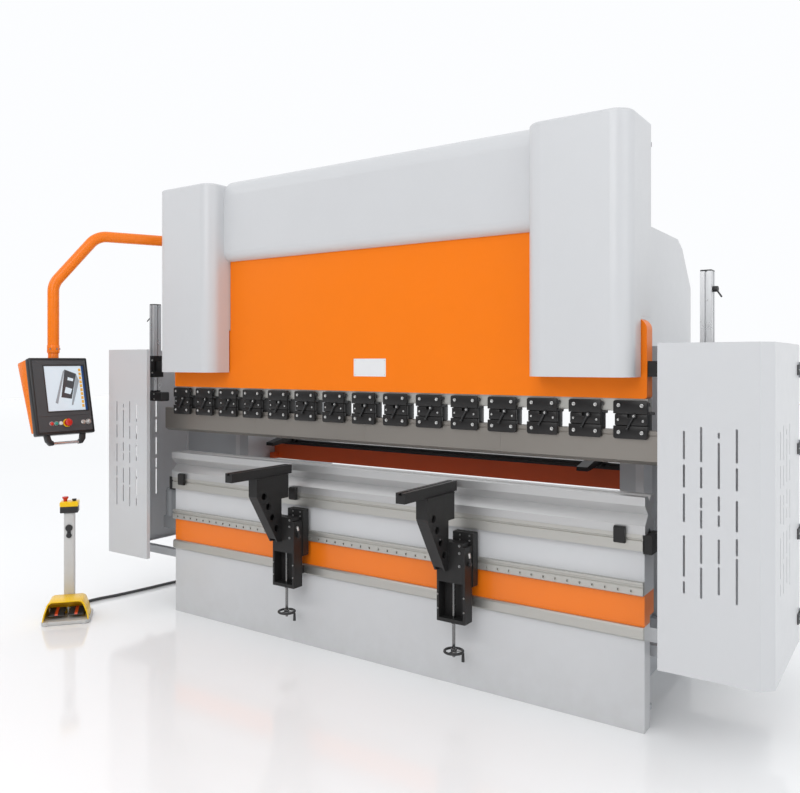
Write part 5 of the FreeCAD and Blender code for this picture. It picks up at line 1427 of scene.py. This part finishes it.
@dataclass
class GuardHinges:
    """Black hinge covers on each side guard."""

    side: str
    heights: Tuple[float, ...] = (0.470, 0.860, 1.250, 1.610)
    half_tall: float = 0.024
    outer: float = 0.0125

    def build(self) -> None:
        """Fit the covers to the door's outer rear edge."""
        low, high = corners("guard_door_" + self.side)
        sign, body = 1 if self.side == "right" else -1, "guard_" + self.side
        edge = sign * max(abs(low.x), abs(high.x))
        face = edge - sign * self.outer
        leaves = [Bench.block("leaf", (edge - sign * 0.018, high.y - 0.078, z - self.half_tall),
                              (face, high.y - 0.018, z + self.half_tall), 0.0015)
                  for z in self.heights]
        Bench.dress(Bench.join("hinge_leaves_" + self.side, leaves), body, MOULDED_BLACK)
        seats = [(face, high.y - dy, z) for z in self.heights for dy in (0.066, 0.042)]
        Bench.dress(Screws(0.0038, 0.002, 12).cluster("hinge_screws_" + self.side, seats,
                                                      spin(sign * 90)), body, ZINC)


@dataclass
class RearDetails:
    """Motor fins, filler cap and cabinet louvres at the rear."""

    motor: Flat = (-0.300, 0.550)
    motor_radius: float = 0.130
    fins: int = 26
    fin: Flat = (0.003, 0.012)
    filler_place: Flat = (0.45, 0.62)
    louvres: int = 6
    louvre: Flat = (0.090, 0.014)
    louvre_pitch: float = 0.030

    def motor_fins(self, tank_top: float) -> None:
        """Cooling fins round the pump motor and a terminal box."""
        (x, y), radius, (thick, reach) = self.motor, self.motor_radius, self.fin
        low, high = tank_top + 0.045, tank_top + 0.255
        master = Bench.block("fin", (radius - 0.003, -thick / 2, low),
                             (radius + reach, thick / 2, high), 0.0008)
        fins = Bench.copies(master, [shift(x, y, 0) @ spin(step * 360.0 / self.fins)
                                     for step in range(self.fins)])
        Bench.dress(Bench.join("motor_fins", fins), "frame", CAST_GREY)
        box = Bench.block("motor_terminal_box", (x - 0.045, y + radius - 0.004, low + 0.050),
                          (x + 0.045, y + radius + 0.020, low + 0.140), 0.004, 3)
        Bench.dress(Bench.smooth(box), "frame", CAST_GREY)

    def filler(self, tank_top: float) -> None:
        """Filler cap of the oil tank."""
        x, y = self.filler_place
        parts = [Bench.barrel("cap", (x, y, tank_top + start), (x, y, tank_top + end), *shape)
                 for start, end, *shape in ((-0.001, 0.020, 0.030, 28, 0.001),
                                            (0.018, 0.052, 0.041, 32, 0.005))]
        Bench.dress(Bench.join("tank_filler_cap", parts), "frame", MOULDED_BLACK)

    def cabinet(self) -> None:
        """Louvres above and below on the cabinet door."""
        low, high = corners("cabinet_door")
        wide, tall = self.louvre
        face, middle = high.x - 0.015, (low.y + high.y) / 2
        rear = face - 0.0005
        hoods = [Bench.profile("louvre", [(rear, z), (face + 0.008, z), (rear, z + tall)], Axis.Y,
                               middle - wide, middle + wide, 0.0008)
                 for base in (low.z + 0.16, high.z - 0.34)
                 for z in (base + i * self.louvre_pitch for i in range(self.louvres))]
        Bench.dress(Bench.join("cabinet_louvres", hoods), "cabinet_leaf", FRAME_GREY)

    def build(self) -> None:
        """Model every rear detail."""
        tank_top = corners("oil_tank")[1].z
        self.motor_fins(tank_top)
        self.filler(tank_top)
        self.cabinet()


def dress_nodes() -> None:
    """Give every CAD node that keeps its own shape its material."""
    for finish, names in CAD_FINISHES:
        for name in names.split():
            node = frame["nodes"][name]
            node.data.materials.clear()
            node.data.materials.append(finish.material())
            LOG.info("%s wears %s", name, finish.name)


def main() -> None:
    """Build everything in order."""
    logging.basicConfig(level=logging.INFO, format="%(message)s")
    studio = Studio()
    studio.set_camera()
    PedalCable().build()
    studio.build_floor()
    studio.build_lights()
    dress_nodes()
    for maker in (ToolClamps, RamTrim, ControlPanel, FootStation, CableGlands, RearDetails):
        maker().build()
    for side in ("left", "right"):
        for maker in (LaserPost, FrontSupport, GuardHinges):
            maker(side).build()


if __name__ == "__main__":
    main()
